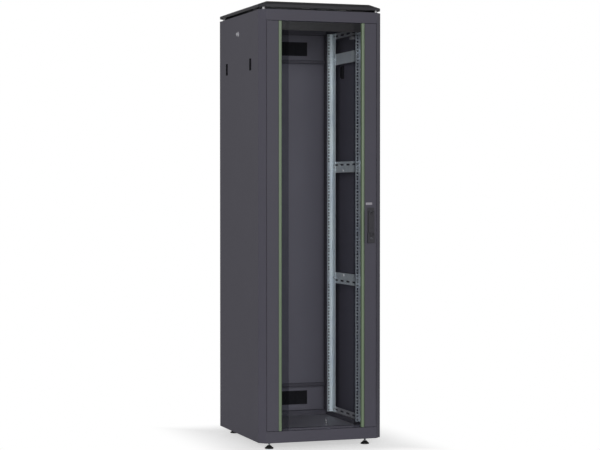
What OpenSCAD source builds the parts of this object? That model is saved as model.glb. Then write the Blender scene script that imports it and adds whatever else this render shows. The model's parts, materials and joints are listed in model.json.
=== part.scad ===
// Free-standing 19-inch network cabinet with a glass front door.
// Millimetres, +Z up, front at -Y, origin on the floor under the middle.

/* [Cabinet] */
// Width over the side panels
cab_w = 600; // [580:1:800]
// Depth over the front door and the rear panels
cab_d = 675; // [580:1:900]
// Rack units between the base frame and the top frame
rack_units = 42; // [30:1:47]
// Floor to base frame with the feet screwed in
foot_gap = 33; // [30:1:50]
// Height of the base frame
base_h = 61; // [58:1:90]
// Height of the top frame
top_h = 55; // [53:1:90]
// Chamfer along the corner posts
corner_chamfer = 30; // [29:0.5:36]
// Width and depth of a corner post
post_size = 56; // [54:1:66]
// Sheet of posts, beams, rails and struts
frame_sheet = 2; // [1.5:0.1:2.5]
// Sheet of panels, floor and roof
panel_sheet = 1.5; // [1:0.1:2.5]

/* [Roof] */
// Open slot between the body and the roof
roof_gap = 10; // [6:1:30]
// Height of the roof's upright rim
roof_rim = 13; // [11:1:24]
// Height of the roof's sloping border above the rim
roof_rise = 17; // [14:1:24]
// Width of the roof's sloping border
roof_slope = 46; // [36:1:46]
// Chamfer at the roof's corners
roof_chamfer = 32; // [30:1:33]
// Radius of the boss that takes a roof bolt
roof_boss_r = 11; // [10:0.5:11.5]
// Underside of the boss below the rim's upper edge
roof_boss_drop = 5; // [4:0.5:6]
// Metal of the boss under the bolt's head
roof_boss_t = 3.5; // [2.5:0.5:4]
// Radius of a roof spacer
spacer_r = 7; // [7:0.5:11]
// Radius of a roof bolt
roof_bolt_r = 4; // [3:0.5:5]
// Radius of a roof bolt's head
roof_head_r = 7.5; // [6:0.5:10]
// Height of a roof bolt's head
roof_head_h = 3; // [3:0.5:6]
// Thickness of the cap that closes a corner post
post_cap = 4; // [3:0.5:8]

/* [Front door] */
// Height of the fascia below the door
fascia_base_h = 53; // [45:1:57]
// Height of the fascia above the door
fascia_top_h = 50; // [45:1:53]
// Gap round the door
door_gap = 2; // [1.8:0.1:4]
// Depth of the door's stiles
door_depth = 22; // [18:0.5:24]
// Space behind the door
door_seat = 5; // [4.5:0.5:8]
// Width of a stile
stile_w = 57; // [52:1:70]
// Solid block inside a stile's ends
stile_end = 26; // [22:1:40]
// Width of a glazing strip
strip_w = 16; // [13:0.5:20]
// Edges of a glazing strip's bead behind the door's face
strip_in = 4; // [3.5:0.5:8]
// Height of the round bead on a glazing strip
strip_bead = 6.5; // [5:0.25:6.5]
// Part of a glazing strip between the stile and the glass
strip_web = 7; // [4:0.5:9]
// Wall of a glazing strip
strip_wall = 2; // [1:0.25:2.5]
// Thickness of the glass
glass_t = 5; // [3:0.5:8]
// Hinge axis from the stile's outer edge
hinge_in_x = 12; // [11:0.5:16]
// Hinge axis from the door's face
hinge_in_y = 6; // [6:0.25:8]
// Radius of a hinge pin
hinge_pin_r = 3; // [2:0.25:3.25]
// Length of a hinge pin inside the stile
hinge_reach = 18; // [10:1:21]
// Radius of a hinge pin's collar
hinge_collar_r = 3.7; // [3.5:0.1:3.8]

/* [Swing handle] */
// Floor to the handle's lower edge
handle_z = 948; // [800:1:1050]
// Width of the handle's plate
handle_w = 34; // [32:1:46]
// Corner radius at the plate's upper edge
handle_corner = 6; // [3:0.5:12]
// Height of the handle's plate
handle_h = 164; // [150:1:190]
// Thickness of the handle's plate
handle_plate = 3; // [2:0.5:5]
// Thickness of the lever
lever_t = 7.8; // [6:0.2:12]
// Width of the lever
lever_w = 28; // [26:1:32]
// Reach of the lever below the spindle
lever_reach = 98; // [80:1:110]
// Depth of the grip groove in the lever
groove_t = 1.6; // [0.5:0.1:3]
// Width of the grip groove
groove_w = 20; // [14:1:24]
// Height of the grip groove
groove_h = 64; // [40:1:70]
// Spindle axis below the plate's upper edge
spindle_drop = 20; // [16:1:26]
// Radius of the spindle
spindle_r = 6; // [4:0.5:7]
// Radius of the lever's pin
lever_pin_r = 2; // [1.5:0.25:2.5]
// Width of the lug that carries the lever
lug_w = 12; // [8:1:14]
// Radius of the lock barrel in the handle
handle_lock_r = 7; // [5:0.5:9]
// Lock axis above the plate's lower edge
handle_lock_rise = 22; // [18:1:22]
// Width of the finger pocket under the lever's end
pocket_w = 20; // [14:1:24]
// Height of the finger pocket
pocket_h = 15; // [10:1:15]
// Length of the latch tongue from the spindle axis
tongue_l = 20; // [16:1:22]
// Width of the latch tongue
tongue_w = 14; // [10:1:16]
// Thickness of the latch tongue
tongue_t = 3; // [2:0.5:4]

/* [Side panels] */
// Depth of the side panels' folded edges
side_depth = 20; // [16:0.5:21]
// Gap round the panels
panel_gap = 1.5; // [1:0.1:3]
// Width of a grip
grip_w = 26; // [20:1:40]
// Height of a grip
grip_h = 54; // [40:1:90]
// Depth of a grip
grip_depth = 11; // [6:0.5:14]
// Wall of a grip
grip_wall = 2; // [1.5:0.25:3]
// Grip axis from the middle of the panel
grip_spread = 188; // [120:1:220]
// Grip axis below the body's upper edge
grip_drop = 244; // [180:1:300]
// Lock axis below the body's upper edge
side_lock_drop = 89; // [87:1:120]

/* [Panel locks] */
// Radius of a lock barrel
lock_r = 9; // [7:0.5:10]
// Radius of a lock's rim
lock_rim_r = 12; // [11:0.5:15]
// Thickness of a lock's rim
lock_rim_t = 2.5; // [1.5:0.25:4]
// Length of a lock's cam from the lock's axis
cam_l = 30; // [24:1:31]
// Width of a lock's cam
cam_w = 16; // [12:1:18]
// Thickness of a lock's cam
cam_t = 3; // [2:0.25:4]
// Overlap of a locked cam and its keeper
cam_grip = 14; // [6:1:15]
// Width of a keeper
keeper_w = 80; // [60:1:120]

/* [Rear wall] */
// Height of the fixed panel at the top
rear_top_h = 180; // [165:1:260]
// Height of the fixed panel at the bottom
rear_base_h = 181; // [165:1:260]
// Height of a cross bar behind the removable panel
crossbar_h = 15; // [10:1:30]
// Depth of a cross bar
crossbar_depth = 12; // [8:1:20]
// Width of a cable entry
entry_w = 310; // [200:1:400]
// Height of a cable entry
entry_h = 54; // [30:1:80]
// Upper cable entry's middle below the body's upper edge
entry_top_drop = 122; // [100:1:122]
// Lower cable entry's middle above the base frame's lower edge
entry_base_rise = 121; // [100:1:123]
// Overlap of a cable entry's cover on the sheet
entry_lip = 7; // [4:0.5:12]
// Thickness of a cable entry's cover
entry_cover_t = 4; // [2:0.5:8]

/* [Rack rails] */
// Distance between the two rows of square holes
hole_span = 465.1; // [460:0.1:470]
// Middle of the holes to the inner edge of the rail, which leaves 450 clear
hole_margin = 7.55; // [6:0.05:10]
// Side of a square hole
hole_side = 9.5; // [8:0.1:10]
// Width of the flange with the holes
rail_flange = 29; // [24:0.5:36]
// Depth of the flange that is screwed to the struts
rail_side = 42; // [36:1:80]
// Screws behind the face of their rail
rail_screw_in = 29; // [15:1:35]
// Depth of the stiffening lip along the inner edge
rail_lip = 12; // [6:1:20]
// Front rails behind the cabinet's front
rail_front_in = 149.5; // [100:0.5:180]
// Rear rails before the cabinet's back
rail_rear_in = 124; // [100:1:180]
// Plain end above and below the rack units
rail_end = 2; // [0:0.5:10]

/* [Depth struts] */
// Height of a strut
strut_h = 53; // [44:1:62]
// Width of a strut's edges
strut_edge = 12; // [8:1:16]
// Upper strut's lower edge below the rails' upper end
strut_top_drop = 154; // [120:1:220]
// Lowest strut's lower edge above the rails' lower end
strut_low_rise = 640; // [300:1:700]
// Middle strut's lower edge above the rails' lower end
strut_mid_rise = 1186; // [900:1:1400]
// Slots of the middle and lower struts from the middle of the strut
strut_slot = 11; // [10:0.5:14]
// Height of the bar along the plain half of those struts
bar_h = 22; // [14:1:24]
// Height of the slotted flanges on the frames
flange_h = 28; // [20:1:40]
// Length of a slot
slot_l = 49; // [20:1:60]
// Width of a slot
slot_w = 9; // [6:0.5:12]
// Distance from slot to slot
slot_pitch = 82; // [70:1:100]
// Where the front part of the upper strut ends, behind the middle
lap_y = 92; // [40:1:110]
// Length of the lap in the upper strut
lap_l = 70; // [30:1:90]
// Radius of a rail screw
screw_r = 3; // [2:0.25:4]
// Radius of a rail screw's head
screw_head_r = 5.5; // [4:0.25:7]
// Height of a rail screw's head
screw_head_h = 3; // [2:0.25:4]

/* [Floor] */
// Floor plate above the base frame's lower edge
floor_rise = 37; // [30:1:50]
// Seam between the two floor plates, behind the middle
floor_seam_y = 90; // [0:1:120]
// Width of the ledge under the floor plates
ledge_w = 10; // [6:1:20]
// Earth stud from the middle
earth_x = 122; // [60:1:180]
// Earth stud before the middle
earth_y = 55; // [20:1:120]
// Radius of the earth stud
earth_r = 4; // [3:0.5:6]
// Height of the earth stud above the floor plate
earth_h = 24; // [18:1:24]

/* [Feet] */
// Foot axis from the two outer faces
foot_inset = 63; // [63:0.5:75]
// Radius of a foot's pad
pad_r = 20.5; // [16:0.5:28]
// Height of a foot's pad
pad_h = 15; // [10:1:18]
// Radius of a foot's stud
stud_r = 5; // [4:0.5:6]
// Height of a foot's nut
nut_h = 8; // [5:0.5:10]
// Thickness of the corner plates that hold the feet
gusset_t = 10; // [8:0.5:14]
// Side of the corner plates
gusset_w = 44; // [40:1:60]

/* [Clearances] */
// Radial clearance of pins, spindles and barrels
running_fit = 0.05; // [0.02:0.01:0.1]
// Gap between resting pieces that move
seat_gap = 0.3; // [0.2:0.05:0.6]
// Radial clearance round screws and bolts
screw_clear = 0.3; // [0.2:0.05:0.6]
// Space between a cam and its keeper
keeper_gap = 1.5; // [0.8:0.1:3]

/* [Hidden] */
$fn = 48;

PAINT = "#4b4a4f";
ZINC = "#a9b6bd";
STEEL = "#c9ccd0";
BLACK = "#1c1c1e";
GREEN = "#6f9650";
SMOKE = "#6b747acc";

// Halves of the cabinet and the heights that stack up from the floor
hx = cab_w / 2;
hy = cab_d / 2;
rack_unit = 44.45;
unit_holes = [6.35, 22.225, 38.1];
rail_len = rack_units * rack_unit + 2 * rail_end;
body_z0 = foot_gap;
rail_z0 = body_z0 + base_h;
rail_z1 = rail_z0 + rail_len;
body_z1 = rail_z1 + top_h;
roof_z0 = body_z1 + roof_gap;
roof_edge_z = roof_z0 + roof_rim;
roof_z1 = roof_edge_z + roof_rise;
roof_boss_z = roof_edge_z - roof_boss_drop;
roof_seat_z = roof_boss_z + roof_boss_t;

// Spacers stand where a bolt has metal of the post's cap all round it
spacer_inset = corner_chamfer - roof_bolt_r - 2 * screw_clear;

// Recesses of the corner posts for the door, the rear panels and the side panels
face_in = door_depth + door_seat;
side_in = side_depth + seat_gap;
face_w = hx - corner_chamfer;
side_w = hy - corner_chamfer;
span_x = hx - post_size;
span_y = hy - post_size;

// Front door
door_z0 = body_z0 + fascia_base_h + door_gap;
door_z1 = body_z1 - fascia_top_h - door_gap;
door_h = door_z1 - door_z0;
door_x = face_w - door_gap;
stile_x = door_x - stile_w;
door_back = hy - door_depth;
hinge_x = -(door_x - hinge_in_x);
hinge_y = -(hy - hinge_in_y);
glass_x = stile_x - strip_web - seat_gap;
glass_y = -(hy - strip_in - strip_wall - seat_gap);

// Swing handle
handle_x = stile_x + stile_w / 2 + door_gap / 2;
spindle_z = handle_z + handle_h - spindle_drop;
plate_y = -(hy + handle_plate);
lever_r = lever_t / 2;
lever_y = plate_y - seat_gap - lever_r;
lever_front = lever_y - lever_r;
handle_lock_z = handle_z + handle_lock_rise;
tongue_y = -(hy - face_in - frame_sheet - keeper_gap);
strike_x = handle_x + tongue_l + seat_gap + door_gap / 2;
strike_h = 2 * tongue_l + 3 * tongue_w / 2;

// Rear wall and locks
split_top = body_z1 - rear_top_h;
split_base = body_z0 + rear_base_h;
bar_y = hy - face_in - crossbar_depth;
rear_lock_z = split_top - crossbar_h + cam_grip - cam_l;
side_lock_z = body_z1 - side_lock_drop;
keeper_z = side_lock_z + cam_l - cam_grip;
keeper_x = hx - side_in;

// Rails and struts
hole_x = hole_span / 2;
rail_x = hole_x - hole_margin;
web_x = rail_x + rail_flange;
rail_front_y = -(hy - rail_front_in);
rail_rear_y = hy - rail_rear_in;
screw_front_y = rail_front_y + rail_screw_in;
screw_rear_y = rail_rear_y - rail_screw_in;
strut_upper_z = rail_z1 - strut_top_drop;
strut_lower_z = rail_z0 + strut_low_rise;
strut_middle_z = rail_z0 + strut_mid_rise;
screw_levels = [
    rail_z0 + flange_h / 2, strut_lower_z + strut_h / 2, strut_middle_z + strut_h / 2,
    strut_upper_z + strut_h / 2, rail_z1 - flange_h / 2
];

floor_z = body_z0 + floor_rise;
foot_x = hx - foot_inset;
foot_y = hy - foot_inset;

// Outline moved inwards by one wall; its points run anticlockwise
function edge_normal(a, b) = let (d = (b - a) / norm(b - a)) [-d[1], d[0]];
function inset_point(a, b, c, wall) =
    let (m = edge_normal(a, b), n = edge_normal(b, c))
    b + wall * (m + n) / (1 + m * n);
function inset(points, wall) =
    let (count = len(points))
    [for (i = [0:count - 1])
        inset_point(points[(i + count - 1) % count], points[i], points[(i + 1) % count], wall)];

// A rectangle with its four corners cut off
function cut_rectangle(a, b, c) = [
    [a, -b + c], [a, b - c], [a - c, b], [-a + c, b],
    [-a, b - c], [-a, -b + c], [-a + c, -b], [a - c, -b]
];

// Placing helpers
module box(low, high) {
    translate(low) cube(high - low);
}
module along_x(x0, x1) {
    translate([x0, 0, 0]) rotate([90, 0, 90]) linear_extrude(x1 - x0) children();
}
module along_y(y0, y1) {
    translate([0, y1, 0]) rotate([90, 0, 0]) linear_extrude(y1 - y0) children();
}
module on_side(side) {
    if (side > 0) children();
    else mirror([1, 0, 0]) children();
}
module on_end(end) {
    if (end > 0) children();
    else mirror([0, 1, 0]) children();
}
module at_corners() {
    for (side = [-1, 1]) for (end = [-1, 1]) on_side(side) on_end(end) children();
}

// Flat shapes
module slot_row(length) {
    count = floor((length - slot_l - slot_w) / slot_pitch / 2);
    for (i = [-count:count]) translate([i * slot_pitch, 0]) slot();
}
module slot() {
    straight = slot_l - slot_w;
    square([straight, slot_w], center = true);
    for (s = [-1, 1]) translate([s * straight / 2, 0]) circle(slot_w / 2);
}
module screw_hole() {
    circle(screw_r + screw_clear);
}
module c_profile(width, height, wall) {
    difference() {
        square([width, height]);
        translate([wall, wall]) square([width, height - 2 * wall]);
    }
}
module tube_profile(width, height, wall) {
    difference() {
        square([width, height]);
        translate([wall, wall]) square([width - 2 * wall, height - 2 * wall]);
    }
}

// A sheet panel with folded edges: outer face at Y = 0, folds towards +Y
module tray(width, height, depth) {
    difference() {
        translate([-width / 2, 0, 0]) cube([width, depth, height]);
        translate([-width / 2 + panel_sheet, panel_sheet, panel_sheet])
            cube([width - 2 * panel_sheet, depth, height - 2 * panel_sheet]);
    }
}

// The ring of beams that base and top share, from z0 to z1
module beam_ring(z0, z1) {
    face_beam = post_size - face_in - frame_sheet;
    side_beam = post_size - side_in;
    for (end = [-1, 1]) on_end(end)
        along_x(-span_x, span_x) translate([span_y + frame_sheet, z0])
            tube_profile(face_beam, z1 - z0, frame_sheet);
    for (side = [-1, 1]) on_side(side)
        along_y(-span_y, span_y) translate([span_x, z0])
            tube_profile(side_beam, z1 - z0, frame_sheet);
}
module fascia(z0, z1) {
    along_x(-face_w, face_w) translate([-hy, z0]) c_profile(face_in, z1 - z0, frame_sheet);
}
// The slotted angle on which the rails are screwed, with its shelf at shelf_z
module slotted_flange(z0, shelf_z) {
    for (side = [-1, 1]) on_side(side) {
        along_x(web_x, web_x + frame_sheet) difference() {
            translate([-span_y, z0]) square([2 * span_y, flange_h]);
            translate([0, z0 + flange_h / 2]) slot_row(2 * span_y);
            for (y = [screw_front_y, screw_rear_y]) translate([y, z0 + flange_h / 2]) screw_hole();
        }
        box([min(web_x, span_x), -span_y, shelf_z],
            [max(web_x + frame_sheet, hx - side_in), span_y, shelf_z + frame_sheet]);
    }
}

module base_frame() {
    color(PAINT) difference() {
        union() {
            beam_ring(body_z0, rail_z0);
            fascia(body_z0, body_z0 + fascia_base_h);
            slotted_flange(rail_z0, rail_z0 - frame_sheet);
            at_corners() box([span_x - gusset_w, span_y - gusset_w, body_z0],
                             [span_x, span_y + frame_sheet, body_z0 + gusset_t]);
            // ledges for the floor plates, and sills that the side panels stand on
            for (side = [-1, 1]) on_side(side) {
                box([span_x - ledge_w, -span_y, floor_z - frame_sheet], [span_x, span_y, floor_z]);
                box([hx - side_in, -side_w, body_z0], [hx - panel_sheet, side_w, body_z0 + frame_sheet]);
            }
        }
        at_corners() translate([foot_x, foot_y, body_z0 - 1])
            cylinder(r = stud_r + running_fit, h = gusset_t + 2);
        translate([hinge_x, hinge_y, body_z0 + frame_sheet])
            cylinder(r = hinge_pin_r + running_fit, h = fascia_base_h);
    }
}

module top_frame() {
    color(PAINT) difference() {
        union() {
            beam_ring(rail_z1, body_z1);
            fascia(body_z1 - fascia_top_h, body_z1);
            slotted_flange(rail_z1 - flange_h, rail_z1);
            at_corners() box([span_x - gusset_w, span_y - gusset_w, body_z1 - gusset_t],
                             [span_x, span_y + frame_sheet, body_z1]);
            // keepers behind which the side panels' cams turn
            for (side = [-1, 1]) on_side(side)
                box([keeper_x - frame_sheet, -keeper_w / 2, keeper_z],
                    [keeper_x, keeper_w / 2, rail_z1]);
        }
        translate([hinge_x, hinge_y, body_z1 - fascia_top_h - 1])
            cylinder(r = hinge_pin_r + running_fit, h = fascia_top_h - frame_sheet);
    }
}

// Closed corner section with recesses for door or rear panel and for the side panel
module post(side, end) {
    outline = [
        [hx, side_w], [face_w, hy], [face_w, hy - face_in], [span_x, hy - face_in],
        [span_x, span_y], [hx - side_in, span_y], [hx - side_in, side_w]
    ];
    on_side(side) on_end(end) difference() {
        translate([0, 0, body_z0]) linear_extrude(body_z1 - body_z0) polygon(outline);
        translate([0, 0, body_z0 - 1]) linear_extrude(body_z1 - body_z0 - post_cap + 1)
            polygon(inset(outline, frame_sheet));
        translate([hx - spacer_inset, hy - spacer_inset, body_z1 - post_cap - 1])
            cylinder(r = roof_bolt_r + screw_clear, h = post_cap + 2);
    }
}
module post_front_left() {
    color(PAINT) post(-1, -1);
}
// The latch tongue turns into a strike opening in this post
module post_front_right() {
    color(PAINT) difference() {
        post(1, -1);
        box([span_x - 1, -(hy - face_in) - 1, spindle_z - strike_h / 2],
            [strike_x, -span_y - frame_sheet, spindle_z + strike_h / 2]);
    }
}
module post_rear_left() {
    color(PAINT) post(-1, 1);
}
module post_rear_right() {
    color(PAINT) post(1, 1);
}

module floor_plate(y0, y1) {
    box([-span_x + seat_gap, y0, floor_z], [span_x - seat_gap, y1, floor_z + panel_sheet]);
}
module floor_plate_rear() {
    color(PAINT) floor_plate(floor_seam_y + panel_gap / 2, span_y - seat_gap);
}
module floor_plate_front() {
    color(PAINT) difference() {
        floor_plate(-span_y + seat_gap, floor_seam_y - panel_gap / 2);
        translate([earth_x, -earth_y, floor_z - 1])
            cylinder(r = earth_r + screw_clear, h = panel_sheet + 2);
    }
}
// Threaded stud with its head below and a nut above the floor plate
module earth_stud() {
    plate_top = floor_z + panel_sheet;
    nut_r = 2 * earth_r;
    color(STEEL) translate([earth_x, -earth_y, 0]) {
        translate([0, 0, floor_z - earth_r])
            cylinder(r = earth_r, h = panel_sheet + earth_h + earth_r);
        translate([0, 0, floor_z - earth_r]) cylinder(r = nut_r, h = earth_r, $fn = 6);
        translate([0, 0, plate_top]) cylinder(r = nut_r, h = 1.6 * earth_r, $fn = 6);
    }
}

// Raised roof: a tray with cut corners and a sloping border, on four sleeves
module roof_shape(outline, z0, z_edge, z1) {
    top = inset(outline, roof_slope);
    count = len(outline);
    low = [for (p = outline) [p[0], p[1], z0]];
    edge = [for (p = outline) [p[0], p[1], z_edge]];
    high = [for (p = top) [p[0], p[1], z1]];
    around = [for (k = [0, 1], i = [0:count - 1])
        [k * count + i, (k + 1) * count + i,
         (k + 1) * count + (i + 1) % count, k * count + (i + 1) % count]];
    floor_face = [for (i = [0:count - 1]) i];
    top_face = [for (i = [0:count - 1]) 3 * count - 1 - i];
    polyhedron(concat(low, edge, high), concat([floor_face], around, [top_face]));
}
module roof_cover() {
    outline = cut_rectangle(hx, hy, roof_chamfer);
    color(PAINT) difference() {
        union() {
            difference() {
                roof_shape(outline, roof_z0, roof_edge_z, roof_z1);
                roof_shape(inset(outline, panel_sheet), roof_z0 - 1, roof_edge_z - panel_sheet / 2,
                           roof_z1 - panel_sheet);
            }
            intersection() {
                roof_shape(outline, roof_z0, roof_edge_z, roof_z1);
                at_corners() translate([hx - spacer_inset, hy - spacer_inset, roof_boss_z])
                    cylinder(r = roof_boss_r, h = roof_z1 - roof_boss_z);
            }
        }
        at_corners() translate([hx - spacer_inset, hy - spacer_inset, 0]) {
            translate([0, 0, roof_z0]) cylinder(r = roof_bolt_r + screw_clear, h = roof_rise);
            translate([0, 0, roof_seat_z]) cylinder(r = roof_head_r + screw_clear, h = roof_z1 - roof_seat_z);
        }
    }
}
module roof_spacers() {
    color(STEEL) at_corners() translate([hx - spacer_inset, hy - spacer_inset, body_z1])
        linear_extrude(roof_boss_z - body_z1) difference() {
            circle(spacer_r);
            circle(roof_bolt_r + screw_clear);
        }
}
module roof_bolts() {
    shank = roof_seat_z - body_z1 + post_cap;
    color(STEEL) at_corners() translate([hx - spacer_inset, hy - spacer_inset, roof_seat_z]) {
        rotate_extrude() polygon([
            [0, 0], [roof_head_r, 0], [roof_head_r, roof_head_h * 0.6],
            [roof_head_r * 0.8, roof_head_h], [0, roof_head_h]
        ]);
        translate([0, 0, -shank]) cylinder(r = roof_bolt_r, h = shank);
    }
}

// Side panels hang on the sills, with two grips and one lock near the top
module side_panel(side) {
    z0 = body_z0 + frame_sheet + seat_gap;
    z1 = body_z1 - panel_gap;
    on_side(side) difference() {
        translate([hx, 0, z0]) rotate([0, 0, 90]) tray(2 * (side_w - panel_gap), z1 - z0, side_depth);
        for (s = [-1, 1]) translate([hx, s * grip_spread, body_z1 - grip_drop])
            cube([4 * panel_sheet, grip_w, grip_h], center = true);
        translate([hx - 2 * panel_sheet, 0, side_lock_z]) rotate([0, 90, 0])
            cylinder(r = lock_r + running_fit, h = 4 * panel_sheet);
    }
}
module side_panel_left() {
    color(PAINT) side_panel(-1);
}
module side_panel_right() {
    color(PAINT) side_panel(1);
}
// Moulded grip cups pushed in from the inside of a panel
module side_grips(side) {
    fit_w = grip_w - 2 * seat_gap;
    fit_h = grip_h - 2 * seat_gap;
    rim = 2 * grip_wall;
    on_side(side) for (s = [-1, 1]) translate([hx, s * grip_spread, body_z1 - grip_drop]) difference() {
        union() {
            box([-grip_depth, -fit_w / 2, -fit_h / 2], [-panel_sheet / 3, fit_w / 2, fit_h / 2]);
            box([-panel_sheet - grip_wall, -grip_w / 2 - rim, -grip_h / 2 - rim],
                [-panel_sheet, grip_w / 2 + rim, grip_h / 2 + rim]);
        }
        box([-grip_depth + grip_wall, -fit_w / 2 + grip_wall, -fit_h / 2 + grip_wall],
            [1, fit_w / 2 - grip_wall, fit_h / 2 - grip_wall]);
    }
}
module side_grips_left() {
    color(BLACK) side_grips(-1);
}
module side_grips_right() {
    color(BLACK) side_grips(1);
}

// Quarter-turn lock along +X: rim on the outer face at X = 0, cam at the inner end
module quarter_turn_lock(depth, cam_dir) {
    key_w = lock_r / 5;
    difference() {
        union() {
            rotate([0, 90, 0]) rotate_extrude() polygon([
                [0, 0], [lock_rim_r, 0], [lock_rim_r, lock_rim_t * 0.5],
                [lock_rim_r * 0.85, lock_rim_t], [0, lock_rim_t]
            ]);
            translate([-depth, 0, 0]) rotate([0, 90, 0]) cylinder(r = lock_r, h = depth);
        }
        box([lock_rim_t / 2, -lock_r * 0.6, -key_w / 2], [lock_rim_t + 1, lock_r * 0.6, key_w / 2]);
    }
    translate([-depth, 0, 0]) rotate([0, -90, 0]) linear_extrude(cam_t) {
        circle(cam_w / 2);
        translate([-cam_w / 2, cam_dir > 0 ? 0 : -cam_l + cam_w / 4])
            square([cam_w, cam_l - cam_w / 4]);
        translate([0, cam_dir * (cam_l - cam_w / 4)]) square([cam_w * 0.6, cam_w / 2], center = true);
    }
}
module side_lock(side) {
    depth = side_in + frame_sheet + keeper_gap;
    on_side(side) translate([hx, 0, side_lock_z]) quarter_turn_lock(depth, 1);
}
module side_lock_left() {
    color(STEEL) side_lock(-1);
}
module side_lock_right() {
    color(STEEL) side_lock(1);
}

// Rear wall: two fixed panels with cable entries and one removable panel between them
module rear_tray(z0, z1, half_w, depth) {
    translate([0, hy, z0]) mirror([0, 1, 0]) tray(2 * half_w, z1 - z0, depth);
}
module entry_cut(z) {
    translate([0, hy, z]) cube([entry_w, 4 * panel_sheet, entry_h], center = true);
}
module rear_panel_top() {
    color(PAINT) difference() {
        rear_tray(split_top, body_z1, face_w, face_in);
        entry_cut(body_z1 - entry_top_drop);
    }
}
module rear_panel_base() {
    color(PAINT) difference() {
        rear_tray(body_z0, split_base, face_w, face_in);
        entry_cut(body_z0 + entry_base_rise);
    }
}
module rear_panel() {
    color(PAINT) difference() {
        rear_tray(split_base + seat_gap, split_top - panel_gap, face_w - panel_gap, face_in - seat_gap);
        translate([0, hy + 1, rear_lock_z]) rotate([90, 0, 0])
            cylinder(r = lock_r + running_fit, h = 4 * panel_sheet);
    }
}
module rear_crossbars() {
    color(PAINT) for (z = [split_top - crossbar_h, split_base])
        along_x(-span_x, span_x) translate([bar_y, z])
            tube_profile(crossbar_depth, crossbar_h, frame_sheet);
}
module cable_cover(z) {
    lip_w = entry_w + 2 * entry_lip;
    lip_h = entry_h + 2 * entry_lip;
    plug_w = entry_w - 2 * seat_gap;
    plug_h = entry_h - 2 * seat_gap;
    inner = hy - panel_sheet;
    box([-lip_w / 2, inner - entry_cover_t, z - lip_h / 2], [lip_w / 2, inner, z + lip_h / 2]);
    box([-plug_w / 2, inner, z - plug_h / 2], [plug_w / 2, hy, z + plug_h / 2]);
}
module cable_cover_top() {
    color(BLACK) cable_cover(body_z1 - entry_top_drop);
}
module cable_cover_base() {
    color(BLACK) cable_cover(body_z0 + entry_base_rise);
}
module rear_lock() {
    color(STEEL) translate([0, hy, rear_lock_z]) rotate([0, 0, 90])
        quarter_turn_lock(hy - bar_y + keeper_gap, 1);
}

// Rack rail: three square holes in every unit, a side flange and a stiffening lip
module rail(side, end, face_y) {
    on_side(side) on_end(end) {
        along_y(face_y - frame_sheet, face_y) difference() {
            translate([rail_x, rail_z0]) square([rail_flange, rail_len]);
            for (u = [0:rack_units - 1]) for (h = unit_holes)
                translate([hole_x, rail_z0 + rail_end + u * rack_unit + h])
                    square(hole_side, center = true);
        }
        along_x(web_x - frame_sheet, web_x) difference() {
            translate([face_y - rail_side, rail_z0]) square([rail_side, rail_len]);
            for (z = screw_levels) translate([face_y - rail_screw_in, z]) screw_hole();
        }
        box([rail_x, face_y - rail_lip, rail_z0], [rail_x + frame_sheet, face_y, rail_z1]);
    }
}
module rail_front_left() {
    color(ZINC) rail(-1, -1, -rail_front_y);
}
module rail_front_right() {
    color(ZINC) rail(1, -1, -rail_front_y);
}
module rail_rear_left() {
    color(ZINC) rail(-1, 1, rail_rear_y);
}
module rail_rear_right() {
    color(ZINC) rail(1, 1, rail_rear_y);
}

// Channel strut from y0 to y1, open towards the side panel, with the holes of the rail screws
module strut_channel(side, z, y0, y1) {
    on_side(side) difference() {
        along_y(y0, y1) translate([web_x, z]) c_profile(strut_edge, strut_h, frame_sheet);
        along_x(web_x - 1, web_x + frame_sheet + 1)
            for (y = [screw_front_y, screw_rear_y]) translate([y, z + strut_h / 2]) screw_hole();
    }
}
// Foot plate at a strut's end, screwed to the corner post
module strut_foot(side, end, z) {
    on_side(side) on_end(end)
        box([min(web_x, hx - side_in - strut_edge), span_y - frame_sheet, z],
            [max(web_x + strut_edge, hx - side_in - panel_gap), span_y, z + strut_h]);
}
// Strut in one piece: slots along its upper or lower half, a bar along the other one
module strut(side, z, half) {
    bar_z = half > 0 ? z : z + strut_h - bar_h;
    difference() {
        strut_channel(side, z, -span_y, span_y);
        on_side(side) along_x(web_x - 1, web_x + frame_sheet + 1)
            translate([0, z + strut_h / 2 + half * strut_slot]) slot_row(2 * span_y);
    }
    on_side(side) box([web_x - frame_sheet, rail_front_y + rail_side + panel_gap, bar_z],
                      [web_x, lap_y, bar_z + bar_h]);
    for (end = [-1, 1]) strut_foot(side, end, z);
}
module strut_upper_front(side) {
    strut_channel(side, strut_upper_z, -span_y, lap_y);
    strut_foot(side, -1, strut_upper_z);
}
// The rear part runs on inside the front part as a narrower tongue
module strut_upper_rear(side) {
    lap_w = strut_h - 2 * frame_sheet - 2 * seat_gap;
    lap_x = web_x + frame_sheet + seat_gap;
    strut_channel(side, strut_upper_z, lap_y + seat_gap, span_y);
    strut_foot(side, 1, strut_upper_z);
    on_side(side) translate([0, lap_y, strut_upper_z + strut_h / 2]) {
        box([lap_x, -lap_l, -lap_w / 2], [lap_x + frame_sheet, 2 * slot_w, lap_w / 2]);
        box([web_x, seat_gap, -lap_w / 2], [lap_x + frame_sheet, seat_gap + frame_sheet, lap_w / 2]);
    }
}
module strut_upper_front_left() {
    color(ZINC) strut_upper_front(-1);
}
module strut_upper_front_right() {
    color(ZINC) strut_upper_front(1);
}
module strut_upper_rear_left() {
    color(ZINC) strut_upper_rear(-1);
}
module strut_upper_rear_right() {
    color(ZINC) strut_upper_rear(1);
}
module strut_middle_left() {
    color(ZINC) strut(-1, strut_middle_z, 1);
}
module strut_middle_right() {
    color(ZINC) strut(1, strut_middle_z, 1);
}
module strut_lower_left() {
    color(ZINC) strut(-1, strut_lower_z, -1);
}
module strut_lower_right() {
    color(ZINC) strut(1, strut_lower_z, -1);
}
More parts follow.
